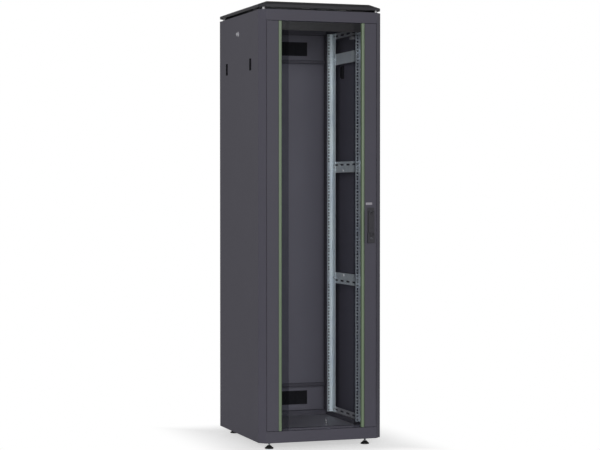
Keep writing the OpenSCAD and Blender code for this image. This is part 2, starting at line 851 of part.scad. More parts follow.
// Pan-head screws through every rail at every strut and frame flange
module rail_screws() {
    shank = 2 * frame_sheet + strut_edge / 2;
    color(STEEL) for (side = [-1, 1]) on_side(side)
        for (y = [screw_front_y, screw_rear_y]) for (z = screw_levels)
            translate([web_x - frame_sheet, y, z]) rotate([0, 90, 0]) {
                cylinder(r = screw_r, h = shank);
                translate([0, 0, -screw_head_h]) rotate_extrude() polygon([
                    [0, 0], [screw_head_r * 0.7, 0], [screw_head_r, screw_head_h * 0.5],
                    [screw_head_r, screw_head_h], [0, screw_head_h]
                ]);
            }
}

// Door stile: hollow section with solid ends
module stile(side) {
    inner_w = stile_w - 2 * frame_sheet;
    inner_d = door_depth - 2 * frame_sheet;
    on_side(side) difference() {
        box([stile_x, -hy, door_z0], [door_x, -door_back, door_z1]);
        translate([stile_x + frame_sheet, -hy + frame_sheet, door_z0 + stile_end])
            cube([inner_w, inner_d, door_h - 2 * stile_end]);
    }
}
module door_stile_left() {
    color(PAINT) difference() {
        stile(-1);
        translate([hinge_x, hinge_y, door_z0 - 1])
            cylinder(r = hinge_pin_r + running_fit, h = hinge_reach + 2);
        translate([hinge_x, hinge_y, door_z1 - hinge_reach - 1])
            cylinder(r = hinge_pin_r + running_fit, h = hinge_reach + 2);
    }
}
module door_stile_right() {
    color(PAINT) difference() {
        stile(1);
        translate([handle_x, -door_back + 1, spindle_z]) rotate([90, 0, 0])
            cylinder(r = spindle_r + running_fit, h = door_depth + 2);
        translate([handle_x, -hy + frame_sheet + 1, handle_lock_z]) rotate([90, 0, 0])
            cylinder(r = handle_lock_r + running_fit, h = frame_sheet + 2);
    }
}
module door_glass() {
    color(SMOKE) box([-glass_x, glass_y, door_z0], [glass_x, glass_y + glass_t, door_z1]);
}
// Green glazing channel that grips the glass, with a round bead on its front
module door_strip(side) {
    depth = 2 * strip_wall + 2 * seat_gap + glass_t;
    bead_r = (strip_w * strip_w / 4 + strip_bead * strip_bead) / (2 * strip_bead);
    on_side(side) translate([0, 0, door_z0]) linear_extrude(door_h)
        translate([stile_x, strip_in - hy]) mirror([1, 0]) {
            difference() {
                square([strip_w, depth]);
                translate([strip_web, strip_wall]) square([strip_w, depth - 2 * strip_wall]);
            }
            intersection() {
                translate([strip_w / 2, bead_r - strip_bead]) circle(bead_r);
                translate([0, -strip_bead]) square([strip_w, strip_bead]);
            }
        }
}
module door_strip_left() {
    color(GREEN) door_strip(-1);
}
module door_strip_right() {
    color(GREEN) door_strip(1);
}

// Hinge pins stand in the fascias and reach into the left stile's ends
module hinge_pin_top() {
    seat_z = body_z1 - fascia_top_h + frame_sheet;
    color(STEEL) translate([hinge_x, hinge_y, 0]) {
        translate([0, 0, door_z1 - hinge_reach])
            cylinder(r = hinge_pin_r, h = seat_z - door_z1 + hinge_reach);
        translate([0, 0, seat_z]) cylinder(r = hinge_collar_r, h = 2 * frame_sheet);
    }
}
module hinge_pin_base() {
    seat_z = body_z0 + fascia_base_h;
    color(STEEL) translate([hinge_x, hinge_y, 0]) {
        translate([0, 0, seat_z - 2 * frame_sheet])
            cylinder(r = hinge_pin_r, h = 2 * frame_sheet + door_gap + hinge_reach);
        translate([0, 0, seat_z]) cylinder(r = hinge_collar_r, h = door_gap - seat_gap);
    }
}

// Swing handle: plate with a lock housing, spindle with a lug, lever, pin, lock and tongue
module handle_base() {
    corner = handle_corner;
    corner_z = handle_z + handle_h - corner;
    pocket_top = spindle_z - lever_reach;
    color(BLACK) difference() {
        union() {
            along_y(plate_y, -hy) translate([handle_x, 0]) {
                translate([-handle_w / 2, handle_z]) square([handle_w, handle_h - corner]);
                translate([corner - handle_w / 2, handle_z]) square([handle_w - 2 * corner, handle_h]);
                for (s = [-1, 1]) translate([s * (handle_w / 2 - corner), corner_z]) circle(corner);
            }
            along_y(lever_front, -hy) difference() {
                translate([handle_x - handle_w / 2, handle_z]) square([handle_w, handle_h / 2]);
                translate([handle_x, spindle_z]) circle(lever_reach + seat_gap, $fn = 96);
            }
        }
        translate([handle_x, -hy + 1, spindle_z]) rotate([90, 0, 0])
            cylinder(r = spindle_r + running_fit, h = handle_plate + 2);
        translate([handle_x, -hy + 1, handle_lock_z]) rotate([90, 0, 0])
            cylinder(r = handle_lock_r + running_fit, h = handle_plate + lever_t + 4);
        box([handle_x - pocket_w / 2, lever_front - 1, pocket_top - pocket_h],
            [handle_x + pocket_w / 2, plate_y, pocket_top]);
    }
}
module handle_spindle() {
    color(STEEL) difference() {
        union() {
            translate([handle_x, tongue_y, spindle_z]) rotate([90, 0, 0])
                cylinder(r = spindle_r, h = tongue_y - plate_y + seat_gap);
            along_x(handle_x - lug_w / 2, handle_x + lug_w / 2) translate([lever_y, spindle_z]) {
                circle(lever_r);
                translate([0, -lever_r]) square([lever_r, 2 * lever_r]);
            }
        }
        translate([handle_x - lug_w, lever_y, spindle_z]) rotate([0, 90, 0])
            cylinder(r = lever_pin_r + running_fit, h = 2 * lug_w);
    }
}
module handle_lever() {
    fork_w = lug_w + 2 * seat_gap;
    fork_z = spindle_z - 2 * lever_r;
    color(BLACK) difference() {
        intersection() {
            union() {
                box([handle_x - lever_w / 2, lever_front, spindle_z - lever_reach],
                    [handle_x + lever_w / 2, lever_y + lever_r, spindle_z]);
                along_x(handle_x - lever_w / 2, handle_x + lever_w / 2)
                    translate([lever_y, spindle_z]) circle(lever_r);
            }
            along_y(lever_front - 1, -hy) translate([handle_x, spindle_z]) circle(lever_reach, $fn = 96);
        }
        box([handle_x - fork_w / 2, lever_front - 1, fork_z],
            [handle_x + fork_w / 2, -hy, spindle_z + 2 * lever_r]);
        translate([handle_x - lever_w, lever_y, spindle_z]) rotate([0, 90, 0])
            cylinder(r = lever_pin_r + running_fit, h = 2 * lever_w);
        box([handle_x - groove_w / 2, lever_front - 1, fork_z - lever_r - groove_h],
            [handle_x + groove_w / 2, lever_front + groove_t, fork_z - lever_r]);
    }
}
module handle_lever_pin() {
    color(STEEL) translate([handle_x - lever_w / 2, lever_y, spindle_z]) rotate([0, 90, 0])
        cylinder(r = lever_pin_r, h = lever_w);
}
module handle_lock() {
    front = lever_front - 1;
    color(STEEL) difference() {
        translate([handle_x, -hy + frame_sheet, handle_lock_z]) rotate([90, 0, 0])
            cylinder(r = handle_lock_r, h = -hy + frame_sheet - front);
        box([handle_x - handle_lock_r / 8, front - 1, handle_lock_z - handle_lock_r * 0.6],
            [handle_x + handle_lock_r / 8, front + 2, handle_lock_z + handle_lock_r * 0.6]);
    }
}
// Latch tongue on the spindle's inner end; it stops just short of the strike's edge
module handle_tongue() {
    color(STEEL) along_y(tongue_y, tongue_y + tongue_t) translate([handle_x, spindle_z]) {
        circle(tongue_w / 2);
        translate([0, -tongue_w / 2]) square([tongue_l, tongue_w]);
    }
}

// Levelling foot: a moulded pad round the end of a stud that carries its lock nut
module foot_pad(side, end) {
    on_side(side) on_end(end) translate([foot_x, foot_y, 0]) difference() {
        rotate_extrude() polygon([
            [0, 0], [pad_r, 0], [pad_r, pad_h * 0.3], [pad_r * 0.85, pad_h * 0.45],
            [stud_r * 1.8, pad_h], [0, pad_h]
        ]);
        translate([0, 0, pad_h / 3]) cylinder(r = stud_r, h = pad_h);
    }
}
module foot_stud(side, end) {
    stud_top = floor_z - 2 * frame_sheet;
    on_side(side) on_end(end) translate([foot_x, foot_y, 0]) {
        translate([0, 0, pad_h / 3]) cylinder(r = stud_r, h = stud_top - pad_h / 3);
        translate([0, 0, body_z0 - seat_gap - nut_h]) cylinder(r = 2 * stud_r, h = nut_h, $fn = 6);
    }
}
module foot_pad_front_left() {
    color(BLACK) foot_pad(-1, -1);
}
module foot_pad_front_right() {
    color(BLACK) foot_pad(1, -1);
}
module foot_pad_rear_left() {
    color(BLACK) foot_pad(-1, 1);
}
module foot_pad_rear_right() {
    color(BLACK) foot_pad(1, 1);
}
module foot_stud_front_left() {
    color(STEEL) foot_stud(-1, -1);
}
module foot_stud_front_right() {
    color(STEEL) foot_stud(1, -1);
}
module foot_stud_rear_left() {
    color(STEEL) foot_stud(-1, 1);
}
module foot_stud_rear_right() {
    color(STEEL) foot_stud(1, 1);
}

base_frame();
floor_plate_rear();
floor_plate_front();
earth_stud();
top_frame();
post_front_left();
post_front_right();
post_rear_left();
post_rear_right();
roof_cover();
roof_spacers();
roof_bolts();
side_panel_left();
side_panel_right();
side_grips_left();
side_grips_right();
side_lock_left();
side_lock_right();
rear_crossbars();
rear_panel_top();
rear_panel();
rear_panel_base();
cable_cover_top();
cable_cover_base();
rear_lock();
rail_front_left();
rail_front_right();
rail_rear_left();
rail_rear_right();
strut_upper_front_left();
strut_upper_front_right();
strut_upper_rear_left();
strut_upper_rear_right();
strut_middle_left();
strut_middle_right();
strut_lower_left();
strut_lower_right();
rail_screws();
door_stile_left();
door_stile_right();
door_glass();
door_strip_left();
door_strip_right();
hinge_pin_top();
hinge_pin_base();
handle_base();
handle_spindle();
handle_lever();
handle_lever_pin();
handle_lock();
handle_tongue();
foot_pad_front_left();
foot_pad_front_right();
foot_pad_rear_left();
foot_pad_rear_right();
foot_stud_front_left();
foot_stud_front_right();
foot_stud_rear_left();
foot_stud_rear_right();
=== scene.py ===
import json
import math

import bpy
from mathutils import Matrix, Vector


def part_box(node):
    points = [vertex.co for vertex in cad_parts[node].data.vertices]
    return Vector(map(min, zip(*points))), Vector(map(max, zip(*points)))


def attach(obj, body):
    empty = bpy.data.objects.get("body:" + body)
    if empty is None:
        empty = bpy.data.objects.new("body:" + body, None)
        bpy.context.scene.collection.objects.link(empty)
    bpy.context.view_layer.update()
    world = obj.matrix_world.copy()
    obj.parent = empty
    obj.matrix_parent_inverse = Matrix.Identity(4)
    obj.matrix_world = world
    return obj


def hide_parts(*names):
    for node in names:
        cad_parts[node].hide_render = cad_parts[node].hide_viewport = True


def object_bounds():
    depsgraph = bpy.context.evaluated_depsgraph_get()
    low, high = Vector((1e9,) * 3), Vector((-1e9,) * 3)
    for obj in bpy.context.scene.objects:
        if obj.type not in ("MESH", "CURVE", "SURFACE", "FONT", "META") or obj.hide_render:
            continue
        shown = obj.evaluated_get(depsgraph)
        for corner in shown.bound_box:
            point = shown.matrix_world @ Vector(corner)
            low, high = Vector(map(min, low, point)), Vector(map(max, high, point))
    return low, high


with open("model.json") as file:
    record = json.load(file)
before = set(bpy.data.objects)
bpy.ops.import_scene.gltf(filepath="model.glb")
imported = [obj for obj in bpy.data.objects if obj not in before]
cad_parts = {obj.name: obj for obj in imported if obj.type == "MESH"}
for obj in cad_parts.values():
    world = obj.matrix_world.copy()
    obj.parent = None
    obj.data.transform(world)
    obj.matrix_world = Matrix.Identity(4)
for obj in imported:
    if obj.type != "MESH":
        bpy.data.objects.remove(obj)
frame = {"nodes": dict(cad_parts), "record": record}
cad_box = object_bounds()
nodes = frame["nodes"]
body_of = {n: b for b, members in frame["record"]["behaviour"]["bodies"].items() for n in members}
slot_of = {s["node"]: s["material_slot"] for s in frame["record"]["subparts"]}

MM = 0.001
SMOOTH_ANGLE = math.radians(35)
# In copies of CAD nodes, vertices closer than this are merged and flatter faces are joined.
MERGE_DISTANCE = 0.01 * MM
FLAT_ANGLE = math.radians(0.5)
# Radii of edges, and half the length of a cutter that goes right through, in millimetres.
SHEET_EDGE = 0.6
STRIP_EDGE = 0.5
HANDLE_EDGE = 0.8
MOULDED_EDGE = 0.4
THROUGH = 30
# Axes by number, and how close two places in millimetres count as one when edges are picked.
X = 0
Y = 1
Z = 2
NEAR = 1
# The colour sockets of a Mix node: its two inputs and its result.
MIX_A = 6
MIX_B = 7
MIX_RESULT = 2
# Sizes of patterns in millimetres.
PEBBLE = 2.2
CLOUD = 260
PATCH = 70
ROLLING_LINE = 4


# Materials.

def linear(code):
    """An sRGB hex colour as linear RGBA."""
    parts = [int(code[i:i + 2], 16) / 255 for i in (1, 3, 5)]
    return [c / 12.92 if c <= 0.04045 else ((c + 0.055) / 1.055) ** 2.4 for c in parts] + [1.0]


def shaded(code, share):
    """An sRGB hex colour as linear RGBA, made darker or lighter by a share."""
    return [min(c * share, 1.0) for c in linear(code)[:3]] + [1.0]


def add(tree, kind, settings=None, sockets=None):
    """Adds a node, sets its properties, and sets or links its input sockets."""
    made = tree.nodes.new(kind)
    for name, value in (settings or {}).items():
        setattr(made, name, value)
    for name, value in (sockets or {}).items():
        if isinstance(value, bpy.types.NodeSocket):
            tree.links.new(value, made.inputs[name])
        else:
            made.inputs[name].default_value = value
    return made


def material(name):
    """An empty material with its output, and Object coordinates in metres."""
    made = bpy.data.materials.new(name)
    made.use_nodes = True
    tree = made.node_tree
    tree.nodes.clear()
    output = add(tree, "ShaderNodeOutputMaterial")
    place = add(tree, "ShaderNodeTexCoord").outputs["Object"]
    return made, tree, output, place


def per_mm(size):
    """Noise scale that gives features of this many millimetres."""
    return 1.0 / (size * MM)


def powder_coat(name, code, rough):
    # Polyester powder coat, sprayed and baked: an even dull sheen over a fine pebbled skin.
    # The real pebbles are about 0.4 mm; they are drawn coarser so that they show at all.
    made, tree, output, place = material(name)
    pebbles = add(tree, "ShaderNodeTexNoise", None,
                  {"Vector": place, "Scale": per_mm(PEBBLE), "Detail": 2.0, "Roughness": 0.5})
    clouds = add(tree, "ShaderNodeTexNoise", None,
                 {"Vector": place, "Scale": per_mm(CLOUD), "Detail": 3.0, "Roughness": 0.55})
    tone = add(tree, "ShaderNodeMix", {"data_type": "RGBA"}, {"Factor": clouds.outputs["Fac"]})
    tone.inputs[MIX_A].default_value = shaded(code, 0.93)
    tone.inputs[MIX_B].default_value = shaded(code, 1.07)
    grain = add(tree, "ShaderNodeMix", {"data_type": "RGBA", "blend_type": "MULTIPLY"}, {"Factor": 0.10})
    tree.links.new(tone.outputs[MIX_RESULT], grain.inputs[MIX_A])
    tree.links.new(pebbles.outputs["Color"], grain.inputs[MIX_B])
    sheen = add(tree, "ShaderNodeMapRange", None,
                {"Value": pebbles.outputs["Fac"], "From Min": 0.3, "From Max": 0.7,
                 "To Min": rough - 0.05, "To Max": rough + 0.07})
    bump = add(tree, "ShaderNodeBump", None,
               {"Height": pebbles.outputs["Fac"], "Strength": 0.05, "Distance": 0.0004})
    skin = add(tree, "ShaderNodeBsdfPrincipled", None,
               {"Base Color": grain.outputs[MIX_RESULT], "Roughness": sheen.outputs["Result"],
                "Normal": bump.outputs["Normal"], "IOR": 1.5})
    tree.links.new(skin.outputs[0], output.inputs["Surface"])
    return made


def rolled_metal(name, code, rough):
    # Plated, blackened or bare metal from rolled strip: the eye sees cloudy patches in its tone
    # and faint upright rolling lines in its shine. The real lines are about 0.5 mm wide; they
    # are drawn coarser so that they show at all.
    made, tree, output, place = material(name)
    patches = add(tree, "ShaderNodeTexNoise", None,
                  {"Vector": place, "Scale": per_mm(PATCH), "Detail": 2.0, "Roughness": 0.5})
    stretch = add(tree, "ShaderNodeMapping", None, {"Vector": place, "Scale": (1.0, 1.0, 0.03)})
    lines = add(tree, "ShaderNodeTexNoise", None,
                {"Vector": stretch.outputs["Vector"], "Scale": per_mm(ROLLING_LINE), "Detail": 1.0})
    tone = add(tree, "ShaderNodeMix", {"data_type": "RGBA"}, {"Factor": patches.outputs["Fac"]})
    tone.inputs[MIX_A].default_value = shaded(code, 0.88)
    tone.inputs[MIX_B].default_value = shaded(code, 1.12)
    sheen = add(tree, "ShaderNodeMapRange", None,
                {"Value": lines.outputs["Fac"], "From Min": 0.3, "From Max": 0.7,
                 "To Min": rough - 0.04, "To Max": rough + 0.04})
    bump = add(tree, "ShaderNodeBump", None,
               {"Height": lines.outputs["Fac"], "Strength": 0.02, "Distance": 0.0003})
    skin = add(tree, "ShaderNodeBsdfPrincipled", None,
               {"Base Color": tone.outputs[MIX_RESULT], "Metallic": 1.0,
                "Roughness": sheen.outputs["Result"], "Normal": bump.outputs["Normal"]})
    tree.links.new(skin.outputs[0], output.inputs["Surface"])
    return made


def moulded_plastic(name, code, rough, grain_mm, depth, ior=1.5):
    # Moulded plastic or rubber, also the white screw heads of painted highlight and the dark glass band of
    # painted shade: the eye sees a fine matt grain in one colour.
    # The real grain is about 0.2 mm; grain_mm is coarser so that it shows at all.
    made, tree, output, place = material(name)
    grain = add(tree, "ShaderNodeTexNoise", None,
                {"Vector": place, "Scale": per_mm(grain_mm), "Detail": 3.0, "Roughness": 0.6})
    tone = add(tree, "ShaderNodeMix", {"data_type": "RGBA"}, {"Factor": grain.outputs["Fac"]})
    tone.inputs[MIX_A].default_value = shaded(code, 0.85)
    tone.inputs[MIX_B].default_value = shaded(code, 1.15)
    sheen = add(tree, "ShaderNodeMapRange", None,
                {"Value": grain.outputs["Fac"], "From Min": 0.3, "From Max": 0.7,
                 "To Min": rough - 0.06, "To Max": rough + 0.06})
    bump = add(tree, "ShaderNodeBump", None,
               {"Height": grain.outputs["Fac"], "Strength": 0.12, "Distance": depth})
    skin = add(tree, "ShaderNodeBsdfPrincipled", None,
               {"Base Color": tone.outputs[MIX_RESULT], "Roughness": sheen.outputs["Result"],
                "Normal": bump.outputs["Normal"], "IOR": ior})
    tree.links.new(skin.outputs[0], output.inputs["Surface"])
    return made


def looked_at(tree, rays):
    """One where the camera looks straight at a point, or through glass, and zero elsewhere."""
    either = add(tree, "ShaderNodeMath", {"operation": "MAXIMUM"})
    tree.links.new(rays.outputs["Is Camera Ray"], either.inputs[0])
    tree.links.new(rays.outputs["Is Transmission Ray"], either.inputs[1])
    return either.outputs[0]


def door_glass_pane(name, clear, border, border_from):
    # Toughened float glass with a light grey tint, darker along the strips.
    # The eye sees it bend and tint what lies behind; lamps and bounced light pass it freely.
    # It has an anti-reflective coat: the index is set low, so that lamps mirror faintly in it.
    made, tree, output, place = material(name)
    across = add(tree, "ShaderNodeSeparateXYZ", None, {"Vector": place})
    side = add(tree, "ShaderNodeMath", {"operation": "ABSOLUTE"})
    tree.links.new(across.outputs["X"], side.inputs[0])
    edge = add(tree, "ShaderNodeMapRange", {"interpolation_type": "SMOOTHSTEP"},
               {"Value": side.outputs[0], "From Min": border_from - 0.001,
                "From Max": border_from + 0.001})
    tint = add(tree, "ShaderNodeMix", {"data_type": "RGBA"}, {"Factor": edge.outputs["Result"]})
    tint.inputs[MIX_A].default_value = linear(clear)
    tint.inputs[MIX_B].default_value = linear(border)
    pane = add(tree, "ShaderNodeBsdfPrincipled", None,
               {"Base Color": tint.outputs[MIX_RESULT], "Roughness": 0.0, "IOR": 1.2,
                "Transmission Weight": 1.0})
    open_way = add(tree, "ShaderNodeBsdfTransparent")
    rays = add(tree, "ShaderNodeLightPath")
    free = add(tree, "ShaderNodeMath", {"operation": "MAXIMUM"})
    tree.links.new(rays.outputs["Is Shadow Ray"], free.inputs[0])
    tree.links.new(rays.outputs["Is Reflection Ray"], free.inputs[1])
    mix = add(tree, "ShaderNodeMixShader", None, {"Fac": free.outputs[0]})
    tree.links.new(pane.outputs[0], mix.inputs[1])
    tree.links.new(open_way.outputs[0], mix.inputs[2])
    tree.links.new(mix.outputs[0], output.inputs["Surface"])
    return made


# One violet grey paint in five depths: the outside in its own colour, lighter inside and lightest on the
# floor as painted light, darker on the roof as painted shade.
paint = powder_coat("powder_coat_dark_grey", "#4C4A56", 0.52)
inside_painted_light = powder_coat("powder_coat_inside_painted_light", "#6E6C79", 0.52)
floor_painted_light = powder_coat("powder_coat_floor_painted_light", "#92909C", 0.52)
inner_side_painted_light = powder_coat("powder_coat_inner_side_painted_light", "#646270", 0.52)
roof_painted_shade = powder_coat("powder_coat_roof_painted_shade", "#2B2A30", 0.48)
# Side locks: a pale grey that stands in for the glint of bright metal, a painted highlight, as pale dots on
# the dark panels.
lock_painted_highlight = powder_coat("powder_coat_lock_painted_highlight", "#C4C4CA", 0.42)
# Rails and struts have a broad pale blue shine, spacers and slotted flanges a plain grey one.
zinc = rolled_metal("zinc_plate_blue", "#EEF6FF", 0.78)
strip_steel = rolled_metal("galvanised_strip", "#B0B0B2", 0.58)
flange_steel = rolled_metal("bright_galvanised_strip", "#E6E6EA", 0.62)
# Screws and studs glint, the rear lock gleams softly, the bare plate is a pale bar.
bright = rolled_metal("bright_nickel_plate", "#D4D6D8", 0.22)
satin = rolled_metal("satin_nickel_plate", "#D6D6D9", 0.48)
bare_aluminium = rolled_metal("bare_aluminium_plate", "#B9B6BE", 0.40)
# Bolts, hinge pins and the handle's metal parts stay dark.
black_steel = rolled_metal("black_oxide_steel", "#3A3A3C", 0.42)
grey_steel = rolled_metal("dark_grey_steel", "#66666C", 0.50)
# Latch, feet and handle: satin black to dark grey. Covers and grips: dead matt black, with a low
# index that takes their shine away.
black_abs = moulded_plastic("black_abs", "#26262A", 0.46, 1.6, 0.0003)
foot_rubber = moulded_plastic("black_rubber", "#161617", 0.62, 2.4, 0.0004)
handle_abs = moulded_plastic("dark_grey_abs", "#36353B", 0.50, 1.6, 0.0003)
cover_plastic = moulded_plastic("black_cover_foam", "#202025", 0.85, 2.0, 0.0003, 1.25)
# Screws on the strut bars: white that stands in for the glint of shiny heads, a painted highlight, as small
# white dots.
bar_screw_painted_highlight = moulded_plastic("white_painted_highlight", "#EDEDF0", 0.35, 1.6, 0.0002)
# Door: sage green strips, a black band at the top as painted shade, and light grey glass.
green_pvc = moulded_plastic("green_pvc", "#73856A", 0.38, 1.8, 0.0002)
glass_painted_shade = moulded_plastic("black_painted_shade", "#1C1B1F", 0.30, 2.0, 0.0001)
glass = door_glass_pane("grey_float_glass", "#F6F8F9", "#C4C6CB", 0.160)

BY_SLOT = {"grey_paint": paint, "zinc": zinc, "steel": bright, "black_plastic": black_abs,
           "green_strip": green_pvc, "smoked_glass": glass}
OWN_FINISH = {"roof_spacers": strip_steel, "handle_spindle": grey_steel, "handle_lever_pin": grey_steel,
              "hinge_pin_top": black_steel, "hinge_pin_base": black_steel}
for name, node in nodes.items():
    node.data.materials.clear()
    node.data.materials.append(OWN_FINISH.get(name, BY_SLOT[slot_of[name]]))


# Modelling by hand.

def deselect():
    """Object mode with nothing selected."""
    if bpy.context.object and bpy.context.object.mode != "OBJECT":
        bpy.ops.object.mode_set(mode="OBJECT")
    bpy.ops.object.select_all(action="DESELECT")


def only(piece):
    """Selects one piece alone and makes it the active one."""
    deselect()
    piece.select_set(True)
    bpy.context.view_layer.objects.active = piece


def pick_faces(piece, test):
    """Edit mode with only the faces selected whose centre and normal pass the test."""
    only(piece)
    bpy.ops.object.mode_set(mode="EDIT")
    bpy.ops.mesh.select_mode(type="FACE")
    bpy.ops.mesh.select_all(action="DESELECT")
    bpy.ops.object.mode_set(mode="OBJECT")
    for face in piece.data.polygons:
        face.select = test(face.center / MM, face.normal)
    bpy.ops.object.mode_set(mode="EDIT")


def pick_edges(piece, test):
    """Edit mode with only the edges selected whose two ends pass the test."""
    only(piece)
    bpy.ops.object.mode_set(mode="EDIT")
    bpy.ops.mesh.select_mode(type="EDGE")
    bpy.ops.mesh.select_all(action="DESELECT")
    bpy.ops.object.mode_set(mode="OBJECT")
    points = [v.co / MM for v in piece.data.vertices]
    for edge in piece.data.edges:
        edge.select = test(points[edge.vertices[0]], points[edge.vertices[1]])
    bpy.ops.object.mode_set(mode="EDIT")


def done():
    """Leaves edit mode."""
    bpy.ops.object.mode_set(mode="OBJECT")


def runs_along(axis, a, b):
    """Whether the edge between two points runs along an axis."""
    return all(abs(a[k] - b[k]) < NEAR for k in (X, Y, Z) if k != axis)


def round_picked(width, segments):
    """Rounds the picked edges and leaves edit mode."""
    bpy.ops.mesh.bevel(offset=width * MM, segments=segments, affect="EDGES")
    done()


def smooth(piece):
    """Smooth shading that breaks at sharp edges."""
    only(piece)
    bpy.ops.object.shade_smooth_by_angle(angle=SMOOTH_ANGLE)


def block(name, low, high):
    """A cube between two corners, in millimetres, with its place in its mesh."""
    deselect()
    low, high = Vector(low) * MM, Vector(high) * MM
    bpy.ops.mesh.primitive_cube_add(size=1, location=(low + high) / 2)
    piece = bpy.context.object
    piece.name = piece.data.name = name
    piece.scale = high - low
    bpy.ops.object.transform_apply(location=True, rotation=True, scale=True)
    return piece


def turned(name, rings, sides, start, axis):
    """A turned piece: a cylinder that is extruded and resized ring by ring.
    rings are (height, radius) in millimetres along axis from the start point."""
    deselect()
    first, second = rings[0], rings[1]
    height = second[0] - first[0]
    bpy.ops.mesh.primitive_cylinder_add(vertices=sides, radius=first[1] * MM, depth=height * MM,
                                        location=(0, 0, (first[0] + height / 2) * MM))
    piece = bpy.context.object
    piece.name = piece.data.name = name
    bpy.ops.object.transform_apply(location=True, rotation=True, scale=True)
    radius, level = first[1], second[0]
    pick_faces(piece, lambda c, n: n.z > 0.9)
    if second[1] != radius:
        bpy.ops.transform.resize(value=(second[1] / radius, second[1] / radius, 1),
                                 center_override=(0, 0, level * MM))
        radius = second[1]
    for up, wide in rings[2:]:
        bpy.ops.mesh.extrude_region_move(
            TRANSFORM_OT_translate={"value": (0, 0, (up - level) * MM)})
        bpy.ops.transform.resize(value=(wide / radius, wide / radius, 1),
                                 center_override=(0, 0, up * MM))
        radius, level = wide, up
    bpy.ops.mesh.select_all(action="SELECT")
    bpy.ops.mesh.normals_make_consistent(inside=False)
    done()
    turn = Vector((0, 0, 1)).rotation_difference(Vector(axis)).to_matrix().to_4x4()
    piece.data.transform(Matrix.Translation(Vector(start) * MM) @ turn)
    return piece


def rod(name, radius, sides, start, axis):
    """A long cutter for a round hole, with its middle at the start point."""
    return turned(name, [(-THROUGH, radius), (THROUGH, radius)], sides, start, axis)


def carve(piece, cutter, how="DIFFERENCE"):
    """Cuts another piece out of this one, joins it to it, or keeps what both share."""
    only(piece)
    cut = piece.modifiers.new("carve", "BOOLEAN")
    cut.operation = how
    cut.object = cutter
    cut.solver = "EXACT"
    bpy.ops.object.modifier_apply(modifier=cut.name)
    bpy.data.objects.remove(cutter, do_unlink=True)


def soften(piece, width, segments=2, angle=40):
    """Rounds every edge sharper than the angle, as a press brake or a mould leaves it."""
    only(piece)
    round_ = piece.modifiers.new("soften", "BEVEL")
    round_.width = width * MM
    round_.segments = segments
    round_.limit_method = "ANGLE"
    round_.angle_limit = math.radians(angle)
    round_.miter_outer = "MITER_ARC"
    round_.use_clamp_overlap = True
    round_.harden_normals = True
    bpy.ops.object.shade_smooth()
    bpy.ops.object.modifier_apply(modifier=round_.name)


def joined(name, pieces):
    """Several pieces as one, under a new name."""
    deselect()
    for piece in pieces:
        piece.select_set(True)
    bpy.context.view_layer.objects.active = pieces[0]
    bpy.ops.object.join()
    pieces[0].name = pieces[0].data.name = name
    return pieces[0]


def copy_to(piece, name, move):
    """A copy with its own mesh, moved or mirrored by a matrix. A mirrored one is turned right side out."""
    deselect()
    twin = piece.copy()
    twin.data = piece.data.copy()
    twin.name = twin.data.name = name
    bpy.context.scene.collection.objects.link(twin)
    twin.data.transform(move)
    if move.determinant() < 0:
        twin.data.flip_normals()
    return twin


def dress(piece, body, finish, slot, *replaced):
    """Gives a finished piece its material and its body, and hides the nodes it stands for. The slot is not
    used.
    """
    piece.data.materials.clear()
    piece.data.materials.append(finish)
    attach(piece, body)
    if replaced:
        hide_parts(*replaced)
    return piece


def softened_node(node, width, finish=None):
    """A copy of a CAD node with its doubles merged and its edges rounded."""
    piece = nodes[node].copy()
    piece.data = nodes[node].data.copy()
    piece.name = piece.data.name = node + "_sheet"
    piece.parent = None
    bpy.context.scene.collection.objects.link(piece)
    only(piece)
    bpy.ops.object.mode_set(mode="EDIT")
    bpy.ops.mesh.select_all(action="SELECT")
    bpy.ops.mesh.remove_doubles(threshold=MERGE_DISTANCE)
    bpy.ops.mesh.dissolve_limited(angle_limit=FLAT_ANGLE, delimit={"NORMAL"})
    done()
    bpy.ops.mesh.customdata_custom_splitnormals_clear()
    soften(piece, width)
    return dress(piece, body_of[node], finish or BY_SLOT[slot_of[node]], slot_of[node], node)


def span(node):
    """A node's lowest and highest corner in millimetres."""
    low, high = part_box(node)
    return Vector(low) / MM, Vector(high) / MM


# The camera stands where the photograph was taken.

CAMERA_PLACE = Vector((-2712, -7848, 1193)) * MM
CAMERA_YAW = 19.123
CAMERA_PITCH = -1.151
FOCAL_PX = 1729.35
IMAGE_W = 600
SENSOR_MM = 36.0

lens = bpy.data.cameras.new("camera")
lens.sensor_fit = "HORIZONTAL"
lens.sensor_width = SENSOR_MM
lens.lens = FOCAL_PX / IMAGE_W * SENSOR_MM
lens.clip_end = 60
camera = bpy.data.objects.new("camera", lens)
camera.location = CAMERA_PLACE
camera.rotation_euler = (math.radians(90 + CAMERA_PITCH), 0, math.radians(-CAMERA_YAW))
bpy.context.scene.collection.objects.link(camera)
bpy.context.scene.camera = camera


# Painted sheet metal is folded and welded, so its edges have small radii.

# The roof cover takes the darker grey of painted shade.
for node in ("post_front_left", "post_front_right", "post_rear_left", "post_rear_right",
             "roof_cover", "side_panel_left", "side_panel_right",
             "rear_panel_top", "rear_panel", "rear_panel_base", "rear_crossbars",
             "door_stile_left", "door_stile_right", "floor_plate_rear", "floor_plate_front"):
    softened_node(node, SHEET_EDGE, roof_painted_shade if node == "roof_cover" else None)

